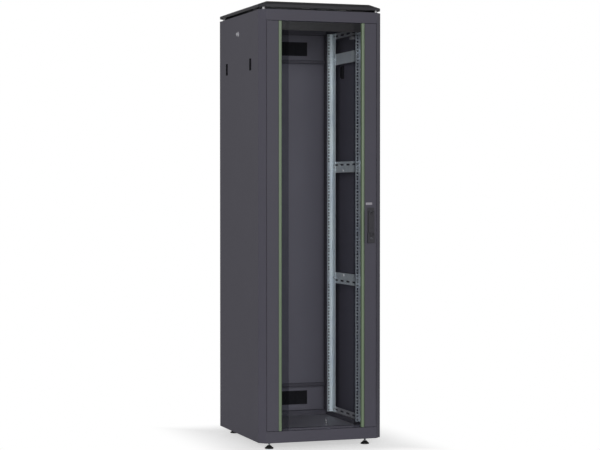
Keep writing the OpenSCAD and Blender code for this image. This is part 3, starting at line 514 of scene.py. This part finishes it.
# Painted light: the inside of the cabinet is a lighter grey than the outside, least on the side panels and
# most on the floor's top.
INWARDS = {"side_panel_left": ((1, 0, 0), inner_side_painted_light), "side_panel_right": ((-1, 0, 0), inner_side_painted_light),
           "rear_panel_top": ((0, -1, 0), inside_painted_light), "rear_panel": ((0, -1, 0), inside_painted_light),
           "rear_panel_base": ((0, -1, 0), inside_painted_light),
           "floor_plate_front": ((0, 0, 1), floor_painted_light), "floor_plate_rear": ((0, 0, 1), floor_painted_light)}
for node, (inwards, inside) in INWARDS.items():
    sheet = bpy.data.objects[node + "_sheet"]
    sheet.data.materials.append(inside)
    for face in sheet.data.polygons:
        if face.normal.dot(Vector(inwards)) > 0.5:
            face.material_index = 1

pane = block("door_pane", *span("door_glass"))
pick_edges(pane, lambda a, b: True)
round_picked(SHEET_EDGE, 1)
dress(pane, "front_door", glass, "smoked_glass", "door_glass")
for node in ("door_strip_left", "door_strip_right"):
    softened_node(node, STRIP_EDGE)

# A dark band on the back of the glass along its top edge stands in for the shade under the top frame:
# painted shade.
SHADE_BAND_H = 41
SHADE_BAND_T = 0.4
SHADE_BAND_INSET = 1
SHADE_BAND_SIDE_GAP = 0.5
SHADE_BAND_EDGE = 0.1
glass_high = span("door_glass")[1]
shade_band_x = span("door_strip_right")[0].x - SHADE_BAND_SIDE_GAP
band = block("glass_painted_shade_band", (-shade_band_x, glass_high.y, glass_high.z - SHADE_BAND_H),
             (shade_band_x, glass_high.y + SHADE_BAND_T, glass_high.z - SHADE_BAND_INSET))
soften(band, SHADE_BAND_EDGE, 1)
dress(band, "front_door", glass_painted_shade, "black_plastic")

# The slotted flanges inside the base and top frames are bare galvanised strip.
FLANGE_H = 29
FLANGE_INWARD = 4
FLANGE_OUTWARD = 12
rail_low, rail_high = span("rail_front_right")
# They stand level with the rails' ends; the upper one is a rounded edge higher.
top_level = rail_high.z + STRIP_EDGE
flange_levels = ((rail_low.z, rail_low.z + FLANGE_H), (top_level - FLANGE_H, top_level))
flange_end = span("strut_lower_right")[1].y
for node in ("base_frame", "top_frame"):
    ring = softened_node(node, STRIP_EDGE)
    ring.data.materials.append(flange_steel)
    for face in ring.data.polygons:
        centre = face.center / MM
        inner = rail_high.x - FLANGE_INWARD < abs(centre.x) < rail_high.x + FLANGE_OUTWARD
        if inner and abs(centre.y) < flange_end:
            if any(low <= centre.z <= high for low, high in flange_levels):
                face.material_index = 1


# Swing handle: plate and lock housing, lever with a finger groove, lock barrel.

# Sizes in millimetres; drops are measured down from the spindle. LEVER_ROUND is a share of half the
# lever's thickness, and each CLEAR is how far a cutter stands out of what it cuts.
PLATE_T = 3
PLATE_CORNER = 6
HOUSING_DROP = 90
HOUSING_INSET = 0.5
LEVER_GAP = 0.3
POCKET_H = 15
POCKET_HALF_W = 10
POCKET_DROP = 80
POCKET_CORNER = 4
POCKET_CLEAR = 4
SPINDLE_BORE_R = 6.1
LOCK_GAP = 0.15
LEVER_ROUND = 0.98
FORK_HALF_W = 6.3
FORK_DROP = 7.8
GROOVE_HALF_W = 10
GROOVE_DROPS = (75.7, 11.7)
GROOVE_DEPTH = 1.6
GROOVE_CORNER = 6
PIN_BORE_R = 2.1
KEY_HALF_W = 0.9
KEY_HALF_H = 4.2
KEY_DEPTH = 2.2
KEY_CLEAR = 2
CLEAR = 5

plate_low, plate_high = span("handle_base")
lever_low, lever_high = span("handle_lever")
lock_low, lock_high = span("handle_lock")
handle_x = (plate_low.x + plate_high.x) / 2
pin_low, pin_high = span("handle_lever_pin")
spindle_z = (pin_low.z + pin_high.z) / 2
lever_reach = spindle_z - lever_low.z
lever_mid_y = (lever_low.y + lever_high.y) / 2
door_face = plate_high.y

plate = block("handle_plate", (plate_low.x, door_face - PLATE_T, plate_low.z), plate_high)
pick_edges(plate, lambda a, b: runs_along(Y, a, b) and a.z > plate_high.z - NEAR)
round_picked(PLATE_CORNER, 8)
housing = block("lock_housing", (plate_low.x, plate_low.y, plate_low.z),
                (plate_high.x, door_face - HOUSING_INSET, spindle_z - HOUSING_DROP))
carve(housing, rod("lever_clearance", lever_reach + LEVER_GAP, 96,
                   (handle_x, plate_low.y, spindle_z), (0, 1, 0)))
pocket_z = lever_low.z - POCKET_H
pocket = block("finger_pocket", (handle_x - POCKET_HALF_W, plate_low.y - POCKET_CLEAR, pocket_z),
               (handle_x + POCKET_HALF_W, door_face - PLATE_T, spindle_z - POCKET_DROP))
pick_edges(pocket, lambda a, b: runs_along(Y, a, b) and a.z < pocket_z + NEAR)
round_picked(POCKET_CORNER, 5)
carve(housing, pocket)
carve(plate, housing, "UNION")
lock_z = (lock_low.z + lock_high.z) / 2
lock_r = (lock_high.x - lock_low.x) / 2
for hole_z, hole_r in ((spindle_z, SPINDLE_BORE_R), (lock_z, lock_r + LOCK_GAP)):
    carve(plate, rod("bore", hole_r, 48, (handle_x, plate_low.y, hole_z), (0, 1, 0)))
soften(plate, HANDLE_EDGE, 3)
dress(plate, "front_door", handle_abs, "black_plastic", "handle_base")

lever = block("handle_lever_grip", lever_low, lever_high)
pick_edges(lever, lambda a, b: runs_along(X, a, b) and a.z > lever_high.z - NEAR)
round_picked((lever_high.y - lever_low.y) / 2 * LEVER_ROUND, 8)
carve(lever, rod("lever_end", lever_reach, 128, (handle_x, lever_mid_y, spindle_z), (0, 1, 0)), "INTERSECT")
carve(lever, block("fork", (handle_x - FORK_HALF_W, lever_low.y - CLEAR, spindle_z - FORK_DROP),
                   (handle_x + FORK_HALF_W, lever_high.y + CLEAR, lever_high.z + CLEAR)))
groove = block("finger_groove", (handle_x - GROOVE_HALF_W, lever_low.y - CLEAR, spindle_z - GROOVE_DROPS[0]),
               (handle_x + GROOVE_HALF_W, lever_low.y + GROOVE_DEPTH, spindle_z - GROOVE_DROPS[1]))
pick_edges(groove, lambda a, b: runs_along(Y, a, b))
round_picked(GROOVE_CORNER, 6)
carve(lever, groove)
carve(lever, rod("pin_bore", PIN_BORE_R, 24, (handle_x, lever_mid_y, spindle_z), (1, 0, 0)))
soften(lever, HANDLE_EDGE, 3)
dress(lever, "handle_lever", handle_abs, "black_plastic", "handle_lever")

length = lock_high.y - lock_low.y
barrel = turned("handle_lock_barrel",
                [(0, lock_r), (length - 1.2, lock_r), (length - 0.5, lock_r - 0.5),
                 (length - 0.1, lock_r - 1.1), (length - 0.5, lock_r - 1.6), (length - 0.5, 2.0)],
                48, (handle_x, lock_high.y, lock_z), (0, -1, 0))
carve(barrel, block("key_slot", (handle_x - KEY_HALF_W, lock_low.y - KEY_CLEAR, lock_z - KEY_HALF_H),
                    (handle_x + KEY_HALF_W, lock_low.y + KEY_DEPTH, lock_z + KEY_HALF_H)))
smooth(barrel)
dress(barrel, "handle_lock", grey_steel, "steel", "handle_lock")

# A small bare plate over the handle, placed from the handle's middle and top.
BARE_X = (-24, 8)
BARE_Z = (13, 24)
BARE_T = 0.8
BARE_CORNER = 1.5
BARE_EDGE = 0.25
bare_plate = block("bare_plate", (handle_x + BARE_X[0], door_face - BARE_T, plate_high.z + BARE_Z[0]),
                   (handle_x + BARE_X[1], door_face, plate_high.z + BARE_Z[1]))
pick_edges(bare_plate, lambda a, b: runs_along(Y, a, b))
round_picked(BARE_CORNER, 4)
soften(bare_plate, BARE_EDGE)
dress(bare_plate, "front_door", bare_aluminium, "steel")


# Quarter-turn locks of the side panels and the rear panel.

# Profiles here and below are (height, radius) in millimetres; UNDER_HEAD is just below a head.
UNDER_HEAD = -0.01
LOCK_RIM = 2.5
CAM_T = 3
CAM_HALF_W = 8
CAM_ARM = 26
CAM_TIP = (24, 30)
CAM_TIP_HALF_W = 4.8
LOCK_R = 9
KEY_SLOT = ((6.8, -4.4, -0.9), (11, 4.4, 0.9))
LOCK_FRONT = [(0, 12), (1.2, 12), (1.8, 11.4), (1.8, 8.6), (8.2, 8.4), (9.0, 7.8), (9.3, 7.0),
              (9.3, 5.6), (8.8, 5.2), (8.8, 3.0)]


def quarter_turn_lock(name, depth):
    """A lock along +X with its rim on the plane X = 0 and its cam at X = -depth."""
    lock = turned(name, [(-depth, LOCK_R), (UNDER_HEAD, LOCK_R)] + LOCK_FRONT, 48, (0, 0, 0), (1, 0, 0))
    carve(lock, block("key_slot", *KEY_SLOT))
    cam_end = -depth - CAM_T
    cam = turned("cam", [(cam_end, CAM_HALF_W), (-depth, CAM_HALF_W)], 32, (0, 0, 0), (1, 0, 0))
    carve(cam, block("cam_arm", (cam_end, 0, -CAM_HALF_W), (-depth, CAM_ARM, CAM_HALF_W)), "UNION")
    tip = block("cam_tip", (cam_end, CAM_TIP[0], -CAM_TIP_HALF_W), (-depth, CAM_TIP[1], CAM_TIP_HALF_W))
    carve(cam, tip, "UNION")
    soften(cam, MOULDED_EDGE)
    screw = turned("cam_screw", [(depth, 4.6), (depth + 3.4, 4.6), (depth + 5.2, 4.2), (depth + 5.6, 3.6)],
                   6, (0, 0, 0), (-1, 0, 0))
    smooth(lock)
    return joined(name, [lock, cam, screw])


side_low, side_high = span("side_lock_right")
rim_x = side_high.x - LOCK_RIM
lock = quarter_turn_lock("side_lock_right_barrel", rim_x - side_low.x - CAM_T)
lock.data.transform(Matrix.Translation(Vector((rim_x, 0, (side_low.z + side_high.z) / 2)) * MM))
twin = copy_to(lock, "side_lock_left_barrel", Matrix.Scale(-1, 4, (1, 0, 0)))
# The side locks are pale grey as a painted highlight.
dress(lock, "side_lock_right", lock_painted_highlight, "steel", "side_lock_right")
dress(twin, "side_lock_left", lock_painted_highlight, "steel", "side_lock_left")

back_low, back_high = span("rear_lock")
rim_y = back_high.y - LOCK_RIM
lock = quarter_turn_lock("rear_lock_barrel", rim_y - back_low.y - CAM_T)
lock.data.transform(Matrix.Translation(Vector((0, rim_y, (back_low.z + back_high.z) / 2)) * MM)
                    @ Matrix.Rotation(math.radians(90), 4, "Z"))
dress(lock, "rear_lock", satin, "steel", "rear_lock")


# Moulded finger grips in the side panels: a cup with a flange behind the sheet and a thin rim on it.

CUP_HALF_W = 12.7
CUP_HALF_H = 26.7
CUP_WALL = 2
OPENING_HALF_W = 13
OPENING_HALF_H = 27
BACK_FLANGE = 4
BACK_FLANGE_X = (-3, -1)
FRONT_RIM = 1
HOLLOW_CORNER = 3

grip_low, grip_high = span("side_grips_right")
grip_z = (grip_low.z + grip_high.z) / 2
grip_y = grip_high.y - OPENING_HALF_W - BACK_FLANGE
panel_face = span("side_panel_right")[1].x
cup = block("grip", (grip_low.x, -grip_y - CUP_HALF_W, grip_z - CUP_HALF_H),
            (panel_face + FRONT_RIM / 2, -grip_y + CUP_HALF_W, grip_z + CUP_HALF_H))
for inner, outer, rim in ((grip_high.x + BACK_FLANGE_X[0], grip_high.x + BACK_FLANGE_X[1], BACK_FLANGE),
                          (panel_face, panel_face + FRONT_RIM, FRONT_RIM)):
    half_w = OPENING_HALF_W + rim
    half_h = OPENING_HALF_H + rim
    flange = block("grip_flange", (inner, -grip_y - half_w, grip_z - half_h),
                   (outer, -grip_y + half_w, grip_z + half_h))
    carve(cup, flange, "UNION")
half_w = CUP_HALF_W - CUP_WALL
half_h = CUP_HALF_H - CUP_WALL
hollow = block("grip_hollow", (grip_low.x + CUP_WALL, -grip_y - half_w, grip_z - half_h),
               (panel_face + CLEAR, -grip_y + half_w, grip_z + half_h))
pick_edges(hollow, lambda a, b: runs_along(X, a, b))
round_picked(HOLLOW_CORNER, 5)
carve(cup, hollow)
soften(cup, MOULDED_EDGE)
rear_cup = copy_to(cup, "grip", Matrix.Translation(Vector((0, 2 * grip_y, 0)) * MM))
cups = joined("side_grips_right_cups", [cup, rear_cup])
twin = copy_to(cups, "side_grips_left_cups", Matrix.Scale(-1, 4, (1, 0, 0)))
dress(cups, "side_panel_right", cover_plastic, "black_plastic", "side_grips_right")
dress(twin, "side_panel_left", cover_plastic, "black_plastic", "side_grips_left")


# Cable entries in the rear wall: frames with ribbed snap-in covers.

COVER_FRAME = 9
COVER_RECESS = 2.2
COVER_PLUG_T = 1.5
COVER_OVERLAP = 0.1
RIBS = 5
RIB_HALF_W = 1.5
RIB_BACK = 0.6
RIB_END_GAP = 0.5
PLUG_INSET = 7.3

for end in ("top", "base"):
    low, high = span("cable_cover_" + end)
    plug_y = high.y - COVER_PLUG_T
    cover = block("cable_cover_%s_moulding" % end, low, (high.x, plug_y, high.z))
    pick_faces(cover, lambda c, n: n.y < -0.9)
    bpy.ops.mesh.inset(thickness=COVER_FRAME * MM, depth=-COVER_RECESS * MM)
    done()
    width = high.x - low.x - 2 * COVER_FRAME
    rib_end = COVER_FRAME + RIB_END_GAP
    for k in range(1, RIBS + 1):
        x = low.x + COVER_FRAME + width * k / (RIBS + 1)
        rib = block("rib", (x - RIB_HALF_W, low.y + RIB_BACK, low.z + rib_end),
                    (x + RIB_HALF_W, plug_y - COVER_OVERLAP, high.z - rib_end))
        carve(cover, rib, "UNION")
    plug = block("plug", (low.x + PLUG_INSET, plug_y - COVER_OVERLAP, low.z + PLUG_INSET),
                 (high.x - PLUG_INSET, high.y, high.z - PLUG_INSET))
    carve(cover, plug, "UNION")
    soften(cover, STRIP_EDGE)
    dress(cover, "frame", cover_plastic, "black_plastic", "cable_cover_" + end)


# Fasteners: rail screws, bar screws and roof bolts.

RAIL_T = 2
SCREW_FROM_END = 14
SCREW_FROM_FACE = 29
CROSS_SLOTS = (((-4, -0.6, -2.6), (-1.4, 0.6, 2.6)), ((-4, -2.6, -0.6), (-1.4, 2.6, 0.6)))
SCREW_PROFILE = [(-10, 3), (UNDER_HEAD, 3), (0, 5.5), (1.5, 5.4), (2.3, 4.8), (2.8, 3.9), (3, 2.6)]
BOLT_HEAD_R = 7.5
BOLT_HEAD_H = 3
BOLT_HEAD = [(0, BOLT_HEAD_R), (1.7, BOLT_HEAD_R), (2.6, 6.8), (BOLT_HEAD_H, 5.9)]
BOLT_R = 4
SOCKET_PROFILE = [(0.9, 3.6), (5, 3.6)]

screw = turned("rail_screw", SCREW_PROFILE, 20, (0, 0, 0), (-1, 0, 0))
for low, high in CROSS_SLOTS:
    carve(screw, block("cross_slot", low, high))
smooth(screw)


def screws_at(name, x, spots):
    """Copies of the screw on both sides of the cabinet, heads inward, at (y, z) spots."""
    copies = []
    for side in (-1, 1):
        for y, z in spots:
            place = Matrix.Translation(Vector((side * x, y, z)) * MM)
            turn = Matrix.Identity(4) if side > 0 else Matrix.Rotation(math.pi, 4, "Z")
            copies.append(copy_to(screw, name, place @ turn))
    return joined(name + "s_set", copies)


strut_levels = [sum(corner.z for corner in span("strut_%s_right" % level)) / 2
                for level in ("lower", "middle", "upper_front")]
screw_levels = [rail_low.z + SCREW_FROM_END] + strut_levels + [rail_high.z - SCREW_FROM_END]
screw_rows = (rail_low.y + SCREW_FROM_FACE, span("rail_rear_right")[1].y - SCREW_FROM_FACE)
rail_spots = [(y, z) for y in screw_rows for z in screw_levels]
rail_screws = screws_at("rail_screw", rail_high.x - RAIL_T, rail_spots)
dress(rail_screws, "frame", bright, "steel", "rail_screws")

# One screw clamps the plain bar of each middle and lower strut, behind the cabinet's middle; its white head
# is a painted highlight.
MIDDLE_BAR_Y = 57
MIDDLE_BAR_UP = 9
LOWER_BAR_Y = 51
LOWER_BAR_DOWN = 8
middle_low = span("strut_middle_right")[0]
lower_high = span("strut_lower_right")[1]
bar_spots = ((MIDDLE_BAR_Y, middle_low.z + MIDDLE_BAR_UP), (LOWER_BAR_Y, lower_high.z - LOWER_BAR_DOWN))
bar_screws = screws_at("bar_screw", middle_low.x, bar_spots)
bpy.data.objects.remove(screw, do_unlink=True)
dress(bar_screws, "frame", bar_screw_painted_highlight, "steel")

bolt_low, bolt_high = span("roof_bolts")
bolt_x = bolt_high.x - BOLT_HEAD_R
bolt_y = bolt_high.y - BOLT_HEAD_R
bolt_shank = [(bolt_low.z - bolt_high.z + BOLT_HEAD_H, BOLT_R), (UNDER_HEAD, BOLT_R)]
bolt = turned("roof_bolt", bolt_shank + BOLT_HEAD, 40, (0, 0, 0), (0, 0, 1))
carve(bolt, turned("socket", SOCKET_PROFILE, 6, (0, 0, 0), (0, 0, 1)))
smooth(bolt)
bolts = [copy_to(bolt, "roof_bolt", Matrix.Translation(Vector((x, y, bolt_high.z - BOLT_HEAD_H)) * MM))
         for x in (-bolt_x, bolt_x) for y in (-bolt_y, bolt_y)]
bpy.data.objects.remove(bolt, do_unlink=True)
dress(joined("roof_bolts_set", bolts), "frame", black_steel, "steel", "roof_bolts")


# Levelling feet: moulded pad, threaded stud and lock nut.

PAD_PROFILE = [(0, 19.3), (1, 20.4), (4.2, 20.4), (5.4, 19.6), (6.6, 17.6), (8.5, 15.0),
               (13.2, 10.4), (14.6, 9.6), (15, 8.8), (15, 5.4), (9, 5.4)]
NUT_PROFILE = [(24.7, 8.9), (25.4, 10), (32.0, 10), (32.7, 8.9)]
PITCH = 1.5
CREST_R = 4.98
ROOT_R = 4.3
PLAIN_R = 4.4
PLAIN_H = 9
FIRST_CREST = 0.5
CREST_W = 0.3
RUN_OUT = 2
CHAMFER = 0.6
END_R = 3.9
NUT_TURN = 30

pad = turned("foot_pad", PAD_PROFILE, 48, (0, 0, 0), (0, 0, 1))
smooth(pad)
low, high = span("foot_stud_front_left")
rings = [(low.z, PLAIN_R), (low.z + PLAIN_H, PLAIN_R)]
turn_z = low.z + PLAIN_H + FIRST_CREST
while turn_z < high.z - RUN_OUT:
    rings += [(turn_z, CREST_R), (turn_z + CREST_W, CREST_R), (turn_z + PITCH / 2, ROOT_R)]
    turn_z += PITCH
rings += [(high.z - CHAMFER, ROOT_R), (high.z, END_R)]
stud = turned("foot_stud", rings, 24, (0, 0, 0), (0, 0, 1))
smooth(stud)
nut = turned("lock_nut", NUT_PROFILE, 6, (0, 0, 0), (0, 0, 1))
nut.data.transform(Matrix.Rotation(math.radians(NUT_TURN), 4, "Z"))
stud = joined("foot_stud", [stud, nut])
for side in ("left", "right"):
    for end in ("front", "rear"):
        foot = "foot_%s_%s" % (end, side)
        pad_node = "foot_pad_%s_%s" % (end, side)
        stud_node = "foot_stud_%s_%s" % (end, side)
        low, high = span(pad_node)
        place = Matrix.Translation(Vector(((low.x + high.x) / 2, (low.y + high.y) / 2, 0)) * MM)
        dress(copy_to(pad, pad_node + "_moulding", place), foot, foot_rubber, "black_plastic", pad_node)
        dress(copy_to(stud, stud_node + "_thread", place), foot, bright, "steel", stud_node)
bpy.data.objects.remove(pad, do_unlink=True)
bpy.data.objects.remove(stud, do_unlink=True)


# Studio: pale floor, white surroundings, soft boxes.

FLOOR_R = 1.6
# The seen floor's shadow: its gain, how far it reaches in metres, and the least white laid over it.
SHADOW_GAIN = 1.6
SHADOW_REACH = 0.30
SHADOW_VEIL = 0.55
# Strength of the even light, and of the walls that shiny parts mirror, dim to lit along LIT_SIDE.
AMBIENT = 0.02
WALL_DIM = 0.07
WALL_LIT = 0.28
LIT_SIDE = (-0.85, 0.53, 0.0)
AIM = (0, 0, 1.0)


def soft_box(name, place, size, power):
    """A rectangular lamp that looks at the middle of the cabinet."""
    lamp = bpy.data.lights.new(name, "AREA")
    lamp.shape = "RECTANGLE"
    lamp.size, lamp.size_y = size
    lamp.energy = power
    holder = bpy.data.objects.new(name, lamp)
    holder.location = place
    holder.rotation_euler = (Vector(AIM) - Vector(place)).to_track_quat("-Z", "Y").to_euler()
    bpy.context.scene.collection.objects.link(holder)


deselect()
bpy.ops.mesh.primitive_circle_add(vertices=96, radius=FLOOR_R, fill_type="NGON", location=(0, 0, 0))
floor = bpy.context.object
floor.name = "floor"
white, tree, output, place = material("white_floor")
matt = add(tree, "ShaderNodeBsdfDiffuse", None, {"Color": linear("#E8E8E8")})
near = add(tree, "ShaderNodeBsdfDiffuse", None, {"Color": (SHADOW_GAIN, SHADOW_GAIN, SHADOW_GAIN, 1)})
far = add(tree, "ShaderNodeEmission", None, {"Color": (1, 1, 1, 1), "Strength": 1.0})
# How far a point of the floor lies outside the cabinet, measured along the axis it is farther out on.
apart = add(tree, "ShaderNodeVectorMath", {"operation": "ABSOLUTE"})
tree.links.new(place, apart.inputs[0])
beyond = add(tree, "ShaderNodeVectorMath", {"operation": "SUBTRACT"})
tree.links.new(apart.outputs["Vector"], beyond.inputs[0])
beyond.inputs[1].default_value = (cad_box[1][0], cad_box[1][1], 0)
sides = add(tree, "ShaderNodeSeparateXYZ", None, {"Vector": beyond.outputs["Vector"]})
reach = add(tree, "ShaderNodeMath", {"operation": "MAXIMUM"})
tree.links.new(sides.outputs["X"], reach.inputs[0])
tree.links.new(sides.outputs["Y"], reach.inputs[1])
fade = add(tree, "ShaderNodeMapRange", {"interpolation_type": "SMOOTHSTEP"},
           {"Value": reach.outputs["Value"], "From Min": 0.0, "From Max": SHADOW_REACH,
            "To Min": SHADOW_VEIL, "To Max": 1.0})
seen = add(tree, "ShaderNodeMixShader", None, {"Fac": fade.outputs["Result"]})
tree.links.new(near.outputs[0], seen.inputs[1])
tree.links.new(far.outputs[0], seen.inputs[2])
rays = add(tree, "ShaderNodeLightPath")
ground = add(tree, "ShaderNodeMixShader", None, {"Fac": looked_at(tree, rays)})
tree.links.new(matt.outputs[0], ground.inputs[1])
tree.links.new(seen.outputs[0], ground.inputs[2])
tree.links.new(ground.outputs[0], output.inputs["Surface"])
floor.data.materials.append(white)

world = bpy.data.worlds.new("studio")
bpy.context.scene.world = world
world.use_nodes = True
# The world isn't sampled as a lamp, so each ray that reaches it is told apart by its kind.
world.cycles.sampling_method = "NONE"
tree = world.node_tree
tree.nodes.clear()
output = add(tree, "ShaderNodeOutputWorld")
rays = add(tree, "ShaderNodeLightPath")
ambient = add(tree, "ShaderNodeBackground", None, {"Color": (1, 1, 1, 1), "Strength": AMBIENT})
heading = add(tree, "ShaderNodeTexCoord").outputs["Generated"]
leaning = add(tree, "ShaderNodeVectorMath", {"operation": "DOT_PRODUCT"})
tree.links.new(heading, leaning.inputs[0])
leaning.inputs[1].default_value = LIT_SIDE
wall_tone = add(tree, "ShaderNodeMapRange", {"interpolation_type": "SMOOTHSTEP"},
                {"Value": leaning.outputs["Value"], "From Min": -0.3, "From Max": 0.9,
                 "To Min": WALL_DIM, "To Max": WALL_LIT})
walls = add(tree, "ShaderNodeBackground", None,
            {"Color": (1, 1, 1, 1), "Strength": wall_tone.outputs["Result"]})
backdrop = add(tree, "ShaderNodeBackground", None, {"Color": (1, 1, 1, 1), "Strength": 1.0})
mirrored = add(tree, "ShaderNodeMixShader", None, {"Fac": rays.outputs["Is Glossy Ray"]})
tree.links.new(ambient.outputs[0], mirrored.inputs[1])
tree.links.new(walls.outputs[0], mirrored.inputs[2])
seen = add(tree, "ShaderNodeMixShader", None, {"Fac": looked_at(tree, rays)})
tree.links.new(mirrored.outputs[0], seen.inputs[1])
tree.links.new(backdrop.outputs[0], seen.inputs[2])
tree.links.new(seen.outputs[0], output.inputs["Surface"])

# Places and sizes in metres, power in watts.
soft_box("front_softbox", (-1.0, -7.5, 2.0), (4.0, 3.5), 240)
soft_box("front_left_softbox", (-4.8, -6.5, 2.0), (3.0, 3.0), 140)
soft_box("left_softbox", (-6.0, 2.2, 2.4), (3.5, 3.5), 125)
soft_box("right_softbox", (6.0, -1.5, 2.4), (3.5, 3.5), 96)
soft_box("back_softbox", (1.5, 7.0, 2.6), (3.5, 3.5), 90)

bpy.context.scene.view_settings.view_transform = "Standard"
